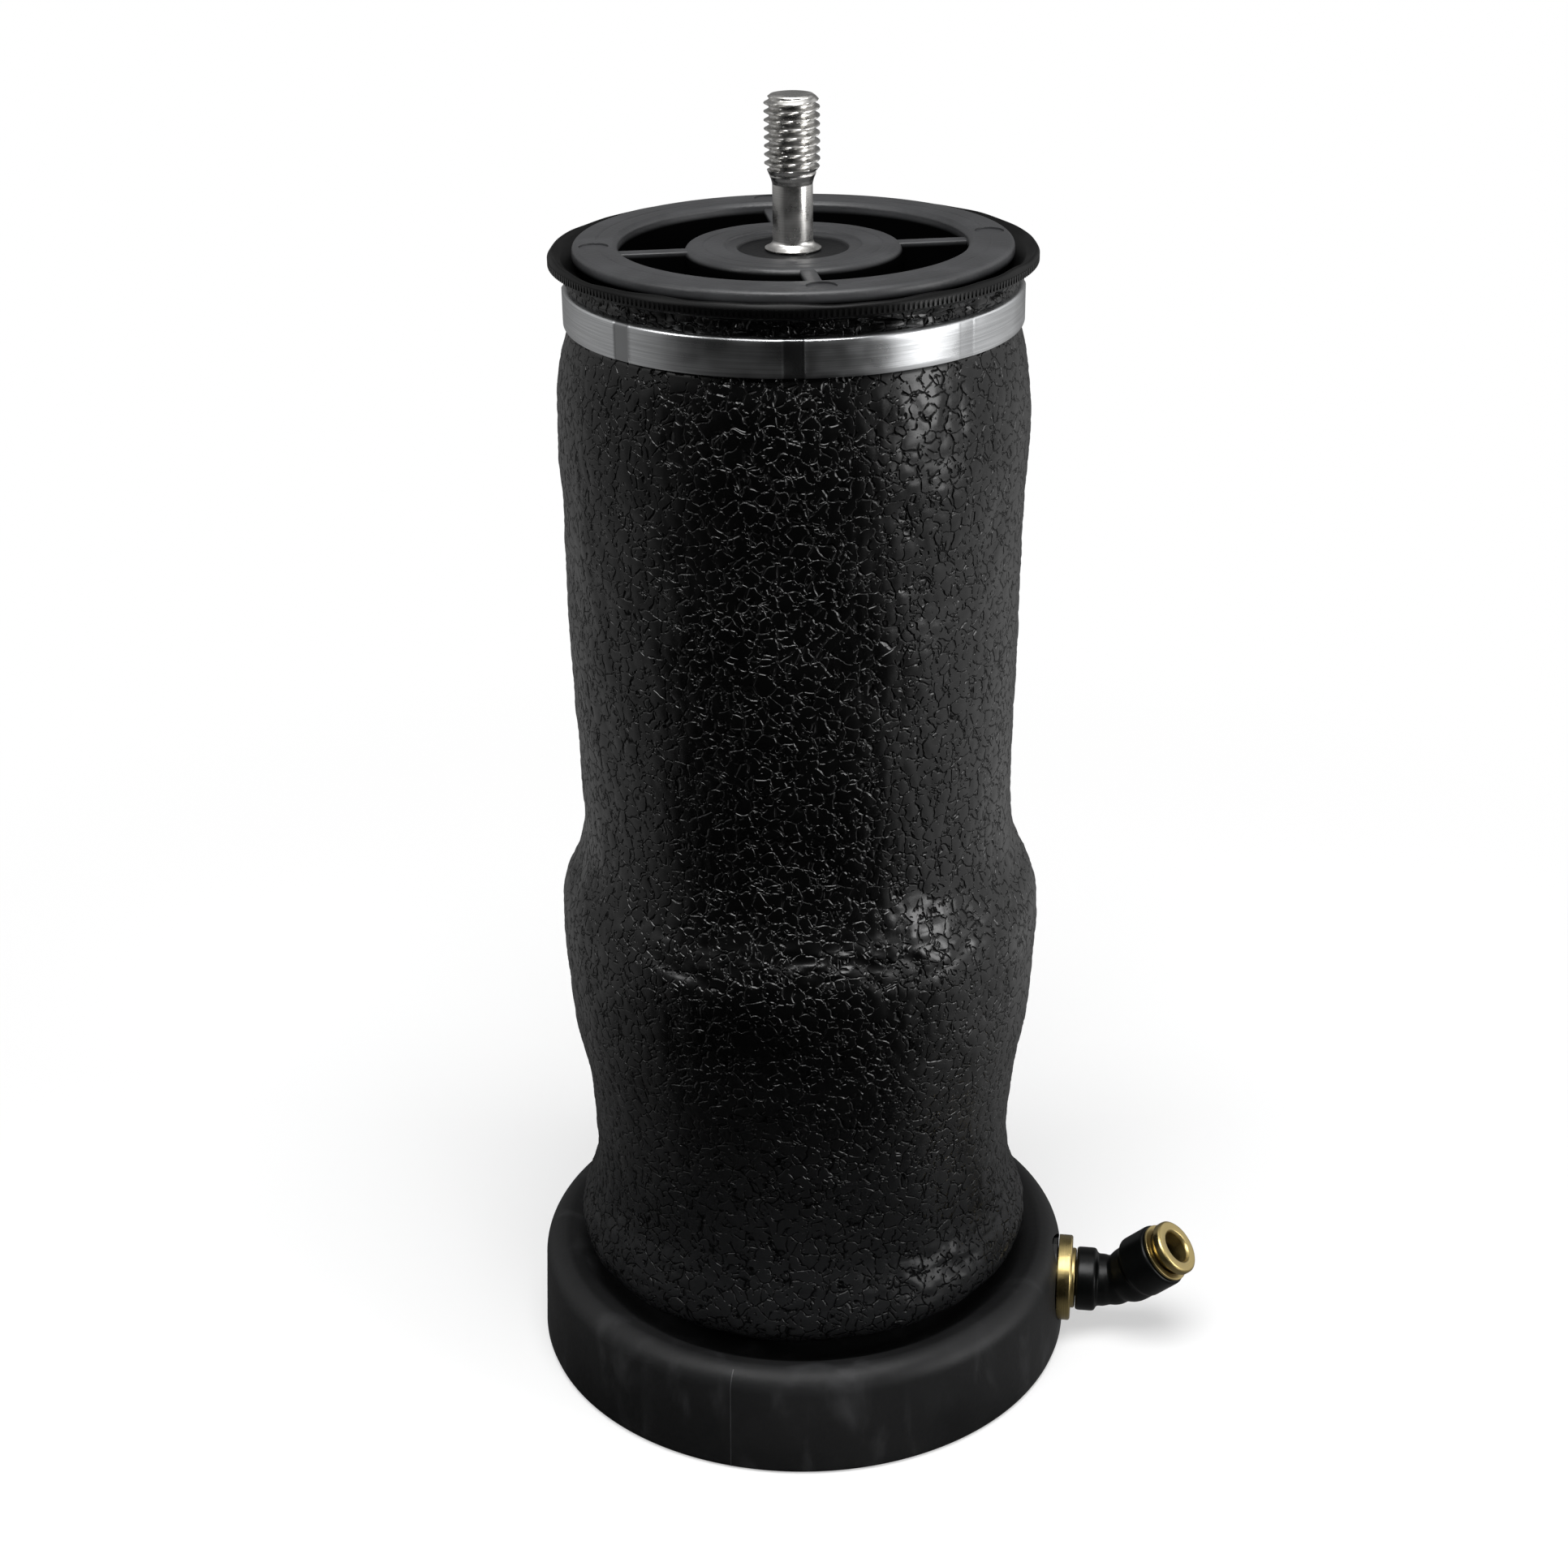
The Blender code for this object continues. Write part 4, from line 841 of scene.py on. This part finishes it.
class MakeStud(bpy.types.Operator):
    """The turned stud with its rolled thread, run-out, shank and collar"""
    bl_idname = "airspring.stud"
    bl_label = "Mounting stud"

    def execute(self, context):
        settings = context.scene.airspring_head
        steel = turned_metal("stud_steel", settings.steel, 0.26, Matrix(), 0.000006)
        top, low = STUD_HIGH.z, STUD_LOW.z
        crest, shank, collar, tang = 0.0050, 0.00365, 0.0051, 0.0040
        thread_low = top - 0.0128
        foot = HUB_TOP - 0.0010
        steps = near(0, top, (0.0038, 0), (0.0043, -0.00035), (crest, -0.0011))
        steps += near(0, thread_low, (crest, 0.0003), (crest - 0.0004, -0.0002), (shank + 0.0002, -0.0020),
                      (shank, -0.0028))
        steps += near(0, foot, (shank, 0.0018), (shank + 0.00015, 0.0013), (shank + 0.0006, 0.0009),
                      (collar - 0.0003, 0.0006), (collar, 0.00045), (collar, 0.0003), (tang, 0.0002))
        steps += [(tang, low + 0.0006), (tang - 0.0006, low)]
        outline = [(0.0, top), (0.0030, top)]
        for (r, z), (next_r, next_z) in zip(steps, steps[1:]):
            count = max(1, math.ceil(abs(next_z - z) / 0.00012)) if z > thread_low - 0.003 else 2
            outline += [(r + (next_r - r) * k / count, z + (next_z - z) * k / count) for k in range(count)]
        stud = lathe("stud_thread", outline + [steps[-1], (0.0, low)], 96)
        self.thread(stud.data, crest, settings.pitch, top, thread_low - 0.0016)
        dress(stud, steel, "head", ["stud"], sharp=32)
        return {"FINISHED"}

    @staticmethod
    def thread(mesh, crest, pitch, top, low):
        """Rolls the thread into the stud's outside, from its top down to a height."""
        points = read_points(mesh)
        radius = np.hypot(points[:, 0], points[:, 1])
        turns = (points[:, 2] - top) / pitch - np.arctan2(points[:, 1], points[:, 0]) / math.tau
        depth = np.clip((np.abs((turns % 1.0) - 0.5) * 2 - 0.14) / 0.62, 0, 1)
        threaded = (points[:, 2] > low) & (radius > 0.0036)
        smaller = np.where(threaded, np.minimum(radius, crest - 0.61 * pitch * depth), radius)
        points[:, :2] *= (smaller / np.maximum(radius, 1e-9))[:, None]
        write_points(mesh, points)


class MakeBand(bpy.types.Operator):
    """The crimped clamp band round the sleeve's neck"""
    bl_idname = "airspring.band"
    bl_label = "Clamp band"

    def execute(self, context):
        settings = context.scene.airspring_band
        inner, outer = 0.0409, BAND_HIGH.x
        low, high = BAND_LOW.z, BAND_HIGH.z
        edge = 0.00035
        face = [(outer, high - 2 * edge - (high - low - 3 * edge) * k / 8) for k in range(9)]
        outline = [(inner, high), (outer - 2 * edge, high), (outer - edge, high - 0.5 * edge),
                   (outer - 0.3 * edge, high - 1.2 * edge), *face,
                   (outer - 0.3 * edge, low + 0.3 * edge), (outer - edge, low), (inner, low)]
        columns = 960
        band = lathe("clamp_band", outline, columns)
        points = read_points(band.data, columns)
        around = np.arctan2(points[0, :, 1], points[0, :, 0]) - math.radians(-82.1)
        spacing = math.tau / settings.crimps
        off = (around + spacing / 2) % spacing - spacing / 2
        place = off * outer / (settings.crimp_width / 2)
        worn = np.where(np.round(around / spacing) == 1, 0.35, 1.0)
        mark = np.clip((1.06 - np.abs(place)) / 0.10, 0, 1) * worn
        burr = 0.00012 * worn * bell(place, 1.12, 0.07)
        radius = np.hypot(points[:, :, 0], points[:, :, 1])
        outside = radius > inner + 0.0003
        change = np.where(outside, burr - settings.dent * mark, 0) - 0.00012
        points[:, :, :2] *= ((radius + change) / radius)[:, :, None]
        write_points(band.data, points)
        store(band.data, "crimp", np.where(outside, mark, 0))
        dress(band, banded_metal(settings), "head", ["upper_clamp_band"], sharp=40)
        return {"FINISHED"}


# The base

FOOT_R = BASE_HIGH.x
FLOOR_Z = 0.0165
PORT_FACE_X = 0.0532


def base_outline():
    """The base from its centre boss over the dish and the rounded shoulder to its foot."""
    shoulder, draft, dish_r = 0.0045, 0.0009, 0.0400
    top = BASE_HIGH.z
    crest_r = FOOT_R - draft - shoulder
    wide, dish = crest_r - dish_r, top - FLOOR_Z
    rise = near(dish_r, FLOOR_Z, (-0.004, -0.00002), (0, 0), (0.35 * wide, 0.26 * dish),
                (0.72 * wide, 0.80 * dish))
    rise = smooth_outline(rise + [(crest_r, top)], 0.0008)
    round_off = [(crest_r + shoulder * math.sin(a), top - shoulder + shoulder * math.cos(a))
                 for a in np.radians(np.arange(6, 91, 6))]
    wall = near(FOOT_R, 0.0, (-0.0001, 0.0014), (-0.0004, 0.0005), (-0.0010, 0.0))
    boss = fillet([(0.0, FLOOR_Z + 0.0040), (0.0140, FLOOR_Z + 0.0040), (0.0140, FLOOR_Z)], 0.0006, closed=False)
    return boss + rise + round_off + wall + [(0.0, 0.0)]


class MakeBase(bpy.types.Operator):
    """The moulded base with its dished top, ribbed underside, port face and parting line"""
    bl_idname = "airspring.base"
    bl_label = "Moulded base"

    def execute(self, context):
        settings = context.scene.airspring_base
        plastic = moulded("base_composite", settings.body, 0.50, gloss=0.20, smears=0.9)
        base = lathe("base_moulding", base_outline(), 288)
        pocket_top, pocket_r, inner_r, insert_y = 0.0070, FOOT_R - 0.0055, 0.0180, 0.0260
        pockets = lathe("pockets", [(pocket_r, pocket_top), (pocket_r, -0.002), (inner_r, -0.002),
                                    (inner_r, pocket_top)], 96)
        reach, half = FOOT_R + 0.002, 0.0015
        bars = [block("bar", (-reach, -half, -0.004), (reach, half, 0.009), math.tau * i / 8) for i in range(4)]
        bars += [rod("boss", 0.0085, -0.003, 0.008, y=side * insert_y) for side in (-1, 1)]
        bars.append(block("port_block", (PORT_FACE_X - 0.0089, -0.0088, -0.003), (reach, 0.0088, 0.008)))
        cut(pockets, bars)
        cut(base, [pockets])
        holes = [rod("insert_hole", 0.0058, -0.001, 0.0127, y=side * insert_y) for side in (-1, 1)]
        holes.append(rod("centre_hole", 0.0063, 0.0068, 0.0215))
        port = [(0.0, FOOT_R + 0.003), (0.0090, FOOT_R + 0.003), (0.0090, PORT_FACE_X), (0.0061, PORT_FACE_X),
                (0.0061, 0.0460), (0.0, 0.0460)]
        holes.append(lathe("port_hole", port, 96, place=ALONG_PORT))
        cut(base, holes)
        dress(base, plastic, "base", ["base_bowl"], sharp=35)
        self.parting_line(settings)
        return {"FINISHED"}

    @staticmethod
    def parting_line(settings):
        """The thin bead that the mould's halves left down the wall, coloured paler than the wall."""
        angle = math.radians(-97.5)
        wall = [(r - 0.8 * settings.line, z) for r, z in base_outline() if r > FOOT_R - 0.0035 and z > 0.0]
        curve = bpy.data.curves.new("parting_line", "CURVE")
        curve.dimensions = "3D"
        curve.bevel_depth = settings.line
        curve.bevel_resolution = 1
        curve.use_fill_caps = True
        spline = curve.splines.new("POLY")
        spline.points.add(len(wall) - 1)
        for point, (r, z) in zip(spline.points, wall):
            point.co = (r * math.cos(angle), r * math.sin(angle), z, 1)
        line = place_object("drawn_line", curve)
        mesh = settled_mesh(line)
        bpy.data.objects.remove(line)
        mesh.shade_smooth()
        # The bead's colour is 3.5 times the body's, paler than the wall.
        pale_line_finish = moulded("rubbed_composite", tone(settings.body, 3.5)[:3], 0.40)
        dress(place_object("parting_line", mesh), pale_line_finish, "base")


# The air fitting

FLANGE_X = FLANGE_LOW.x + 0.0068
FLANGE_R = FLANGE_HIGH.z - BEND.z
NOSE_X = FLANGE_X + 0.0029
ELBOW_R = 0.00665
ELBOW_NECK_R = 0.0055
OUTLET_END = 0.0138
COLLET_SEAT = OUTLET_END + 0.0023
COLLET_TOP = COLLET_SEAT + 0.0017


def adapter_outline():
    """The brass adapter along its own axis, from the nose's end to the stem."""
    end, stem = NOSE_X + 0.0067, FLANGE_X - 0.0068
    return [(0.0033, end), (0.0037, end - 0.0004), (0.0037, NOSE_X + 0.0009), (0.0060, NOSE_X + 0.0009),
            (0.0063, NOSE_X + 0.0006), (0.0063, NOSE_X), (FLANGE_R - 0.0003, NOSE_X),
            (FLANGE_R - 0.00001, NOSE_X - 0.0003), (FLANGE_R - 0.00001, FLANGE_X), (0.0046, FLANGE_X),
            (0.0046, stem), (0.0020, stem), (0.0020, end)]


class MakeFitting(bpy.types.Operator):
    """The air fitting: brass flange, swivelling elbow, cartridge and release collet"""
    bl_idname = "airspring.fitting"
    bl_label = "Air fitting"

    def execute(self, context):
        settings = context.scene.airspring_fitting
        port_brass = turned_metal("brass_flange", settings.brass, 0.30, ALONG_PORT, 0.00003)
        outlet_brass = turned_metal("brass_outlet", settings.brass, 0.33, ALONG_OUTLET, 0.00002)
        flange = lathe("port_flange", fillet(adapter_outline(), 0.00015), 128, place=ALONG_PORT)
        dress(flange, port_brass, "base", ["adapter"], sharp=40)
        self.elbow(settings)
        ring = near(0, OUTLET_END, (0.0062, 0.0008), (0.0062, 0.0003), (0.0056, 0.0003))
        ring += [(0.0056, 0.0095), (0.0048, 0.0095), (0.0048, OUTLET_END + 0.0008)]
        cartridge = lathe("outlet_ring", fillet(ring, 0.00012), 96, place=ALONG_OUTLET)
        dress(cartridge, outlet_brass, "elbow", ["tube_cartridge"], sharp=40)
        head = [(0.0054, COLLET_TOP), (0.0058, COLLET_TOP - 0.0004), (0.0058, COLLET_SEAT), (0.0045, COLLET_SEAT),
                (0.0045, 0.0106), (0.0033, 0.0106), (0.0033, COLLET_TOP - 0.0006), (0.0037, COLLET_TOP)]
        collet = lathe("collet_head", fillet(head, 0.00020), 96, place=ALONG_OUTLET)
        dress(collet, outlet_brass, "collet", ["release_collet"], sharp=45)
        return {"FINISHED"}

    @staticmethod
    def elbow(settings):
        """The moulded elbow, melted together from its turned ends and a full heel under the bend."""
        plastic = moulded("elbow_plastic", settings.plastic, 0.34, 1500.0, 0.000015, 0.18)
        inlet_x = NOSE_X + 0.0010
        inlet = near(0, BEND.x, (0.0, 0.0010), (0.0035, 0.0006), (0.0050, -0.0006), (ELBOW_NECK_R, -0.0022))
        inlet += near(0, inlet_x, (ELBOW_NECK_R, 0.0045), (ELBOW_R - 0.0002, 0.0041), (ELBOW_R, 0.0037),
                      (ELBOW_R, 0.0003), (ELBOW_R - 0.0003, 0), (0.0, 0))
        outlet = [(0.0, OUTLET_END), (ELBOW_R - 0.0003, OUTLET_END), (ELBOW_R, OUTLET_END - 0.0003),
                  (ELBOW_R, 0.0073), (ELBOW_R - 0.0004, 0.0068), (0.0055, 0.0060), (0.0051, 0.0040)]
        outlet += arc(0.0, 0.0, 0.0051, np.arange(0, -90, -10)) + [(0.0, -0.0051)]
        heel = [(0.0, 0.0105), (0.0060, 0.0105), (0.0060, 0.0046)]
        heel += arc(0.0, 0.0046, 0.0060, np.arange(-10, -90, -10)) + [(0.0, -0.0014)]
        under = (Vector((1, 0, 0)) - OUTWARDS * OUTWARDS.x).normalized() * 0.0006
        whole = bmesh.new()
        for outline, place in ((inlet, ALONG_PORT), (outlet, ALONG_OUTLET),
                               (heel, Matrix.Translation(under) @ ALONG_OUTLET)):
            piece = lathe("elbow_part", outline, 96, place=place)
            whole.from_mesh(piece.data)
            bpy.data.objects.remove(piece)
        body = from_bmesh("swivel_elbow", whole)
        melt = body.modifiers.new("Melt", "REMESH")
        melt.mode = "VOXEL"
        melt.voxel_size = 0.00020
        ease = body.modifiers.new("Ease", "SMOOTH")
        ease.factor = 0.5
        ease.iterations = 16
        settle(body)
        socket = [(0.0, NOSE_X + 0.0070), (0.0040, NOSE_X + 0.0070), (0.0040, NOSE_X), (0.0, NOSE_X)]
        bore = [(0.0, OUTLET_END + 0.001), (0.0059, OUTLET_END + 0.001), (0.0059, 0.0092), (0.0034, 0.0092),
                (0.0034, 0.0020), (0.0, 0.0020)]
        cut(body, [lathe("socket", socket, 64, place=ALONG_PORT),
                   lathe("bore", bore, 96, place=ALONG_OUTLET)])
        dress(body, plastic, "elbow", ["elbow_body"], sharp=50)


class FinishNodes(bpy.types.Operator):
    """Finishes for the pieces that keep the frame's own shape"""
    bl_idname = "airspring.finish_nodes"
    bl_label = "Inner pieces"

    def execute(self, context):
        shared = {"base_composite": "base_moulding", "head_composite": "head_plate", "stud_steel": "stud_thread",
                  "elbow_plastic": "swivel_elbow", "sleeve_rubber": "sleeve_skin"}
        brass = context.scene.airspring_fitting.brass
        finishes = {
            **{slot: bpy.data.objects[piece].data.materials[0] for slot, piece in shared.items()},
            "seal_rubber": moulded("seal_rubber", (0.010, 0.010, 0.010), 0.62, 700.0, 0.00003),
            "hidden_steel": metal("zinc_steel", (0.56, 0.57, 0.58), 0.34, (700.0, 700.0, 700.0)),
            "band_metal": metal("inner_band_metal", (0.56, 0.57, 0.58), 0.32, (60.0, 60.0, 5200.0)),
            "brass": metal("brass_insert", brass, 0.36, (900.0, 900.0, 2600.0)),
        }
        for name, obj in NODES.items():
            obj.data.materials.clear()
            obj.data.materials.append(finishes[SLOTS[name]])
        return {"FINISHED"}


# The stage

def along(tree, way, direction):
    """How far a direction lies along another."""
    return vector(tree, "DOT_PRODUCT", way, direction, output="Value")


def studio(tree, place):
    """How bright the surroundings are in a direction: dark in front, pale behind, brightest at the right."""
    way = vector(tree, "NORMALIZE", vector(tree, "MULTIPLY", place, FLAT))
    turn = combine(tree, "ARCTAN2", along(tree, way, RIGHT), along(tree, way, AHEAD))
    key, key_end, fill, fill_end = (ramp(tree, turn, math.radians(low), math.radians(high), start, end)
                                    for low, high, start, end in ((36, 72, 0.0, 0.75), (105, 165, 1.0, 0.2),
                                                                  (-45, -90, 0.0, 0.38), (-115, -165, 1.0, 0.5)))
    return plus(tree, plus(tree, times(tree, key, key_end), times(tree, fill, fill_end)), 0.012)


def mix_shader(tree, share, first, second):
    """A blend of two shaders by share."""
    return add(tree, "ShaderNodeMixShader", {0: share, 1: first, 2: second}).outputs[0]


class MakeStage(bpy.types.Operator):
    """The pale floor, the soft lights, the surroundings and the camera"""
    bl_idname = "airspring.stage"
    bl_label = "Stage"

    def execute(self, context):
        scene = context.scene
        scene.view_settings.view_transform = "Standard"
        self.camera(scene)
        self.surroundings(scene)
        self.floor(scene.airspring_stage.floor)
        self.softbox("softbox_top", (0.05, -0.35, 1.10), (0.7, 0.6), 14.0)
        self.softbox("softbox_right", (0.99, -0.31, 0.29), (0.40, 0.55), 5.5)
        self.softbox("softbox_left", (-0.75, -0.45, 0.85), (0.3, 0.3), 2.5)
        return {"FINISHED"}

    @staticmethod
    def camera(scene):
        """A camera at the photograph's place: 8 degrees to the right, looking 24.6 degrees down."""
        data = bpy.data.cameras.new("camera")
        data.lens = 58.7
        data.clip_start = 0.01
        distance, height = 0.460, 0.336
        drop, aim_left, roll = math.radians(24.6), math.radians(0.363), math.radians(-0.75)
        camera = place_object("camera", data)
        spot = Vector((distance * AHEAD[0], distance * AHEAD[1], height))
        camera.matrix_world = (Matrix.Translation(spot) @ Matrix.Rotation(CAMERA_TURN + aim_left, 4, "Z")
                               @ Matrix.Rotation(math.pi / 2 - drop, 4, "X") @ Matrix.Rotation(roll, 4, "Z"))
        scene.camera = camera

    @staticmethod
    def surroundings(scene):
        """White behind the object for the camera, and studio walls for its light and reflections."""
        world = bpy.data.worlds.new("studio")
        world.use_nodes = True
        scene.world = world
        tree = world.node_tree
        way = add(tree, "ShaderNodeTexCoord").outputs["Generated"]
        rays = add(tree, "ShaderNodeLightPath").outputs
        height = height_of(tree, way)
        light = times(tree, studio(tree, way), ramp(tree, height, 0.40, 0.80, 1.0, 0.12))
        raised = times(tree, ramp(tree, height, 0.06, 0.26), ramp(tree, along(tree, way, AHEAD), -0.85, -0.6))
        light = times(tree, light, plus(tree, raised, 1.0))
        light = plus(tree, light, times(tree, ramp(tree, height, 0.70, 0.88, 0.0, 0.9), rays["Is Glossy Ray"]))
        feed(tree, tree.nodes["Background"], Color=(1, 1, 1, 1),
             Strength=combine(tree, "MAXIMUM", light, rays["Is Camera Ray"]))

    @staticmethod
    def floor(value):
        """The floor: pale with the object's shadow for the camera; in reflections it glows with the studio's
        light, with a painted shadow near the object.
        """
        bm = bmesh.new()
        bmesh.ops.create_grid(bm, x_segments=1, y_segments=1, size=8.0)
        floor = from_bmesh("floor", bm)
        made, tree, shader, place = finish("floor", 0.9, gloss=0.0)
        feed(tree, shader, Base_Color=tone(value))
        rays = add(tree, "ShaderNodeLightPath").outputs
        away = vector(tree, "LENGTH", place, output="Value")
        # In reflections the floor glows with the studio's light, dimmed near the object as a painted shadow.
        strength = times(tree, studio(tree, place), ramp(tree, away, 0.08, 0.28, 0.25, 1.0))
        glow, white = (add(tree, "ShaderNodeEmission", {"Strength": power}).outputs[0]
                       for power in (strength, 1.0))
        mirrored = combine(tree, "MAXIMUM", rays["Is Glossy Ray"], rays["Is Transmission Ray"])
        matt = shader.outputs[0]
        pale = mix_shader(tree, ramp(tree, away, 0.08, 0.40, 0.45, 1.0), matt, white)
        seen = mix_shader(tree, rays["Is Camera Ray"], matt, pale)
        feed(tree, tree.nodes["Material Output"], Surface=mix_shader(tree, mirrored, seen, glow))
        floor.data.materials.append(made)


    @staticmethod
    def softbox(name, spot, size, watts):
        """A soft area light aimed at the middle of the object."""
        data = bpy.data.lights.new(name, "AREA")
        data.shape = "RECTANGLE"
        data.size, data.size_y = size
        data.energy = watts
        aim = Vector((0, 0, 0.13)) - Vector(spot)
        place_object(name, data).matrix_world = (Matrix.Translation(spot)
                                                 @ aim.to_track_quat("-Z", "Y").to_matrix().to_4x4())


class AirSpringPanel(bpy.types.Panel):
    """Lists the sizes and steps of the air spring"""
    bl_idname = "VIEW3D_PT_airspring"
    bl_label = "Air spring"
    bl_space_type = "VIEW_3D"
    bl_region_type = "UI"
    bl_category = "Air spring"

    def draw(self, context):
        for group in GROUPS:
            box = self.layout.box()
            settings = getattr(context.scene, group)
            for key in settings.bl_rna.properties.keys():
                if key not in ("rna_type", "name"):
                    box.prop(settings, key)
        for step in STEPS:
            self.layout.operator(step.bl_idname)


GROUPS = {
    "airspring_sleeve": SleeveSettings,
    "airspring_head": HeadSettings,
    "airspring_band": BandSettings,
    "airspring_base": BaseSettings,
    "airspring_fitting": FittingSettings,
    "airspring_stage": StageSettings,
}
STEPS = (MakeStage, MakeSleeve, MakeLipTicks, MakeHead, MakeStud, MakeBand, MakeBase, MakeFitting, FinishNodes)
CLASSES = (*GROUPS.values(), *STEPS, AirSpringPanel)


def register():
    for cls in CLASSES:
        bpy.utils.register_class(cls)
    for name, group in GROUPS.items():
        setattr(bpy.types.Scene, name, PointerProperty(type=group))


def unregister():
    for name in GROUPS:
        delattr(bpy.types.Scene, name)
    for cls in reversed(CLASSES):
        bpy.utils.unregister_class(cls)


def main():
    """Registers the add-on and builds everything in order."""
    register()
    for step in STEPS:
        group, name = step.bl_idname.split(".")
        getattr(getattr(bpy.ops, group), name)()


if __name__ == "__main__":
    main()
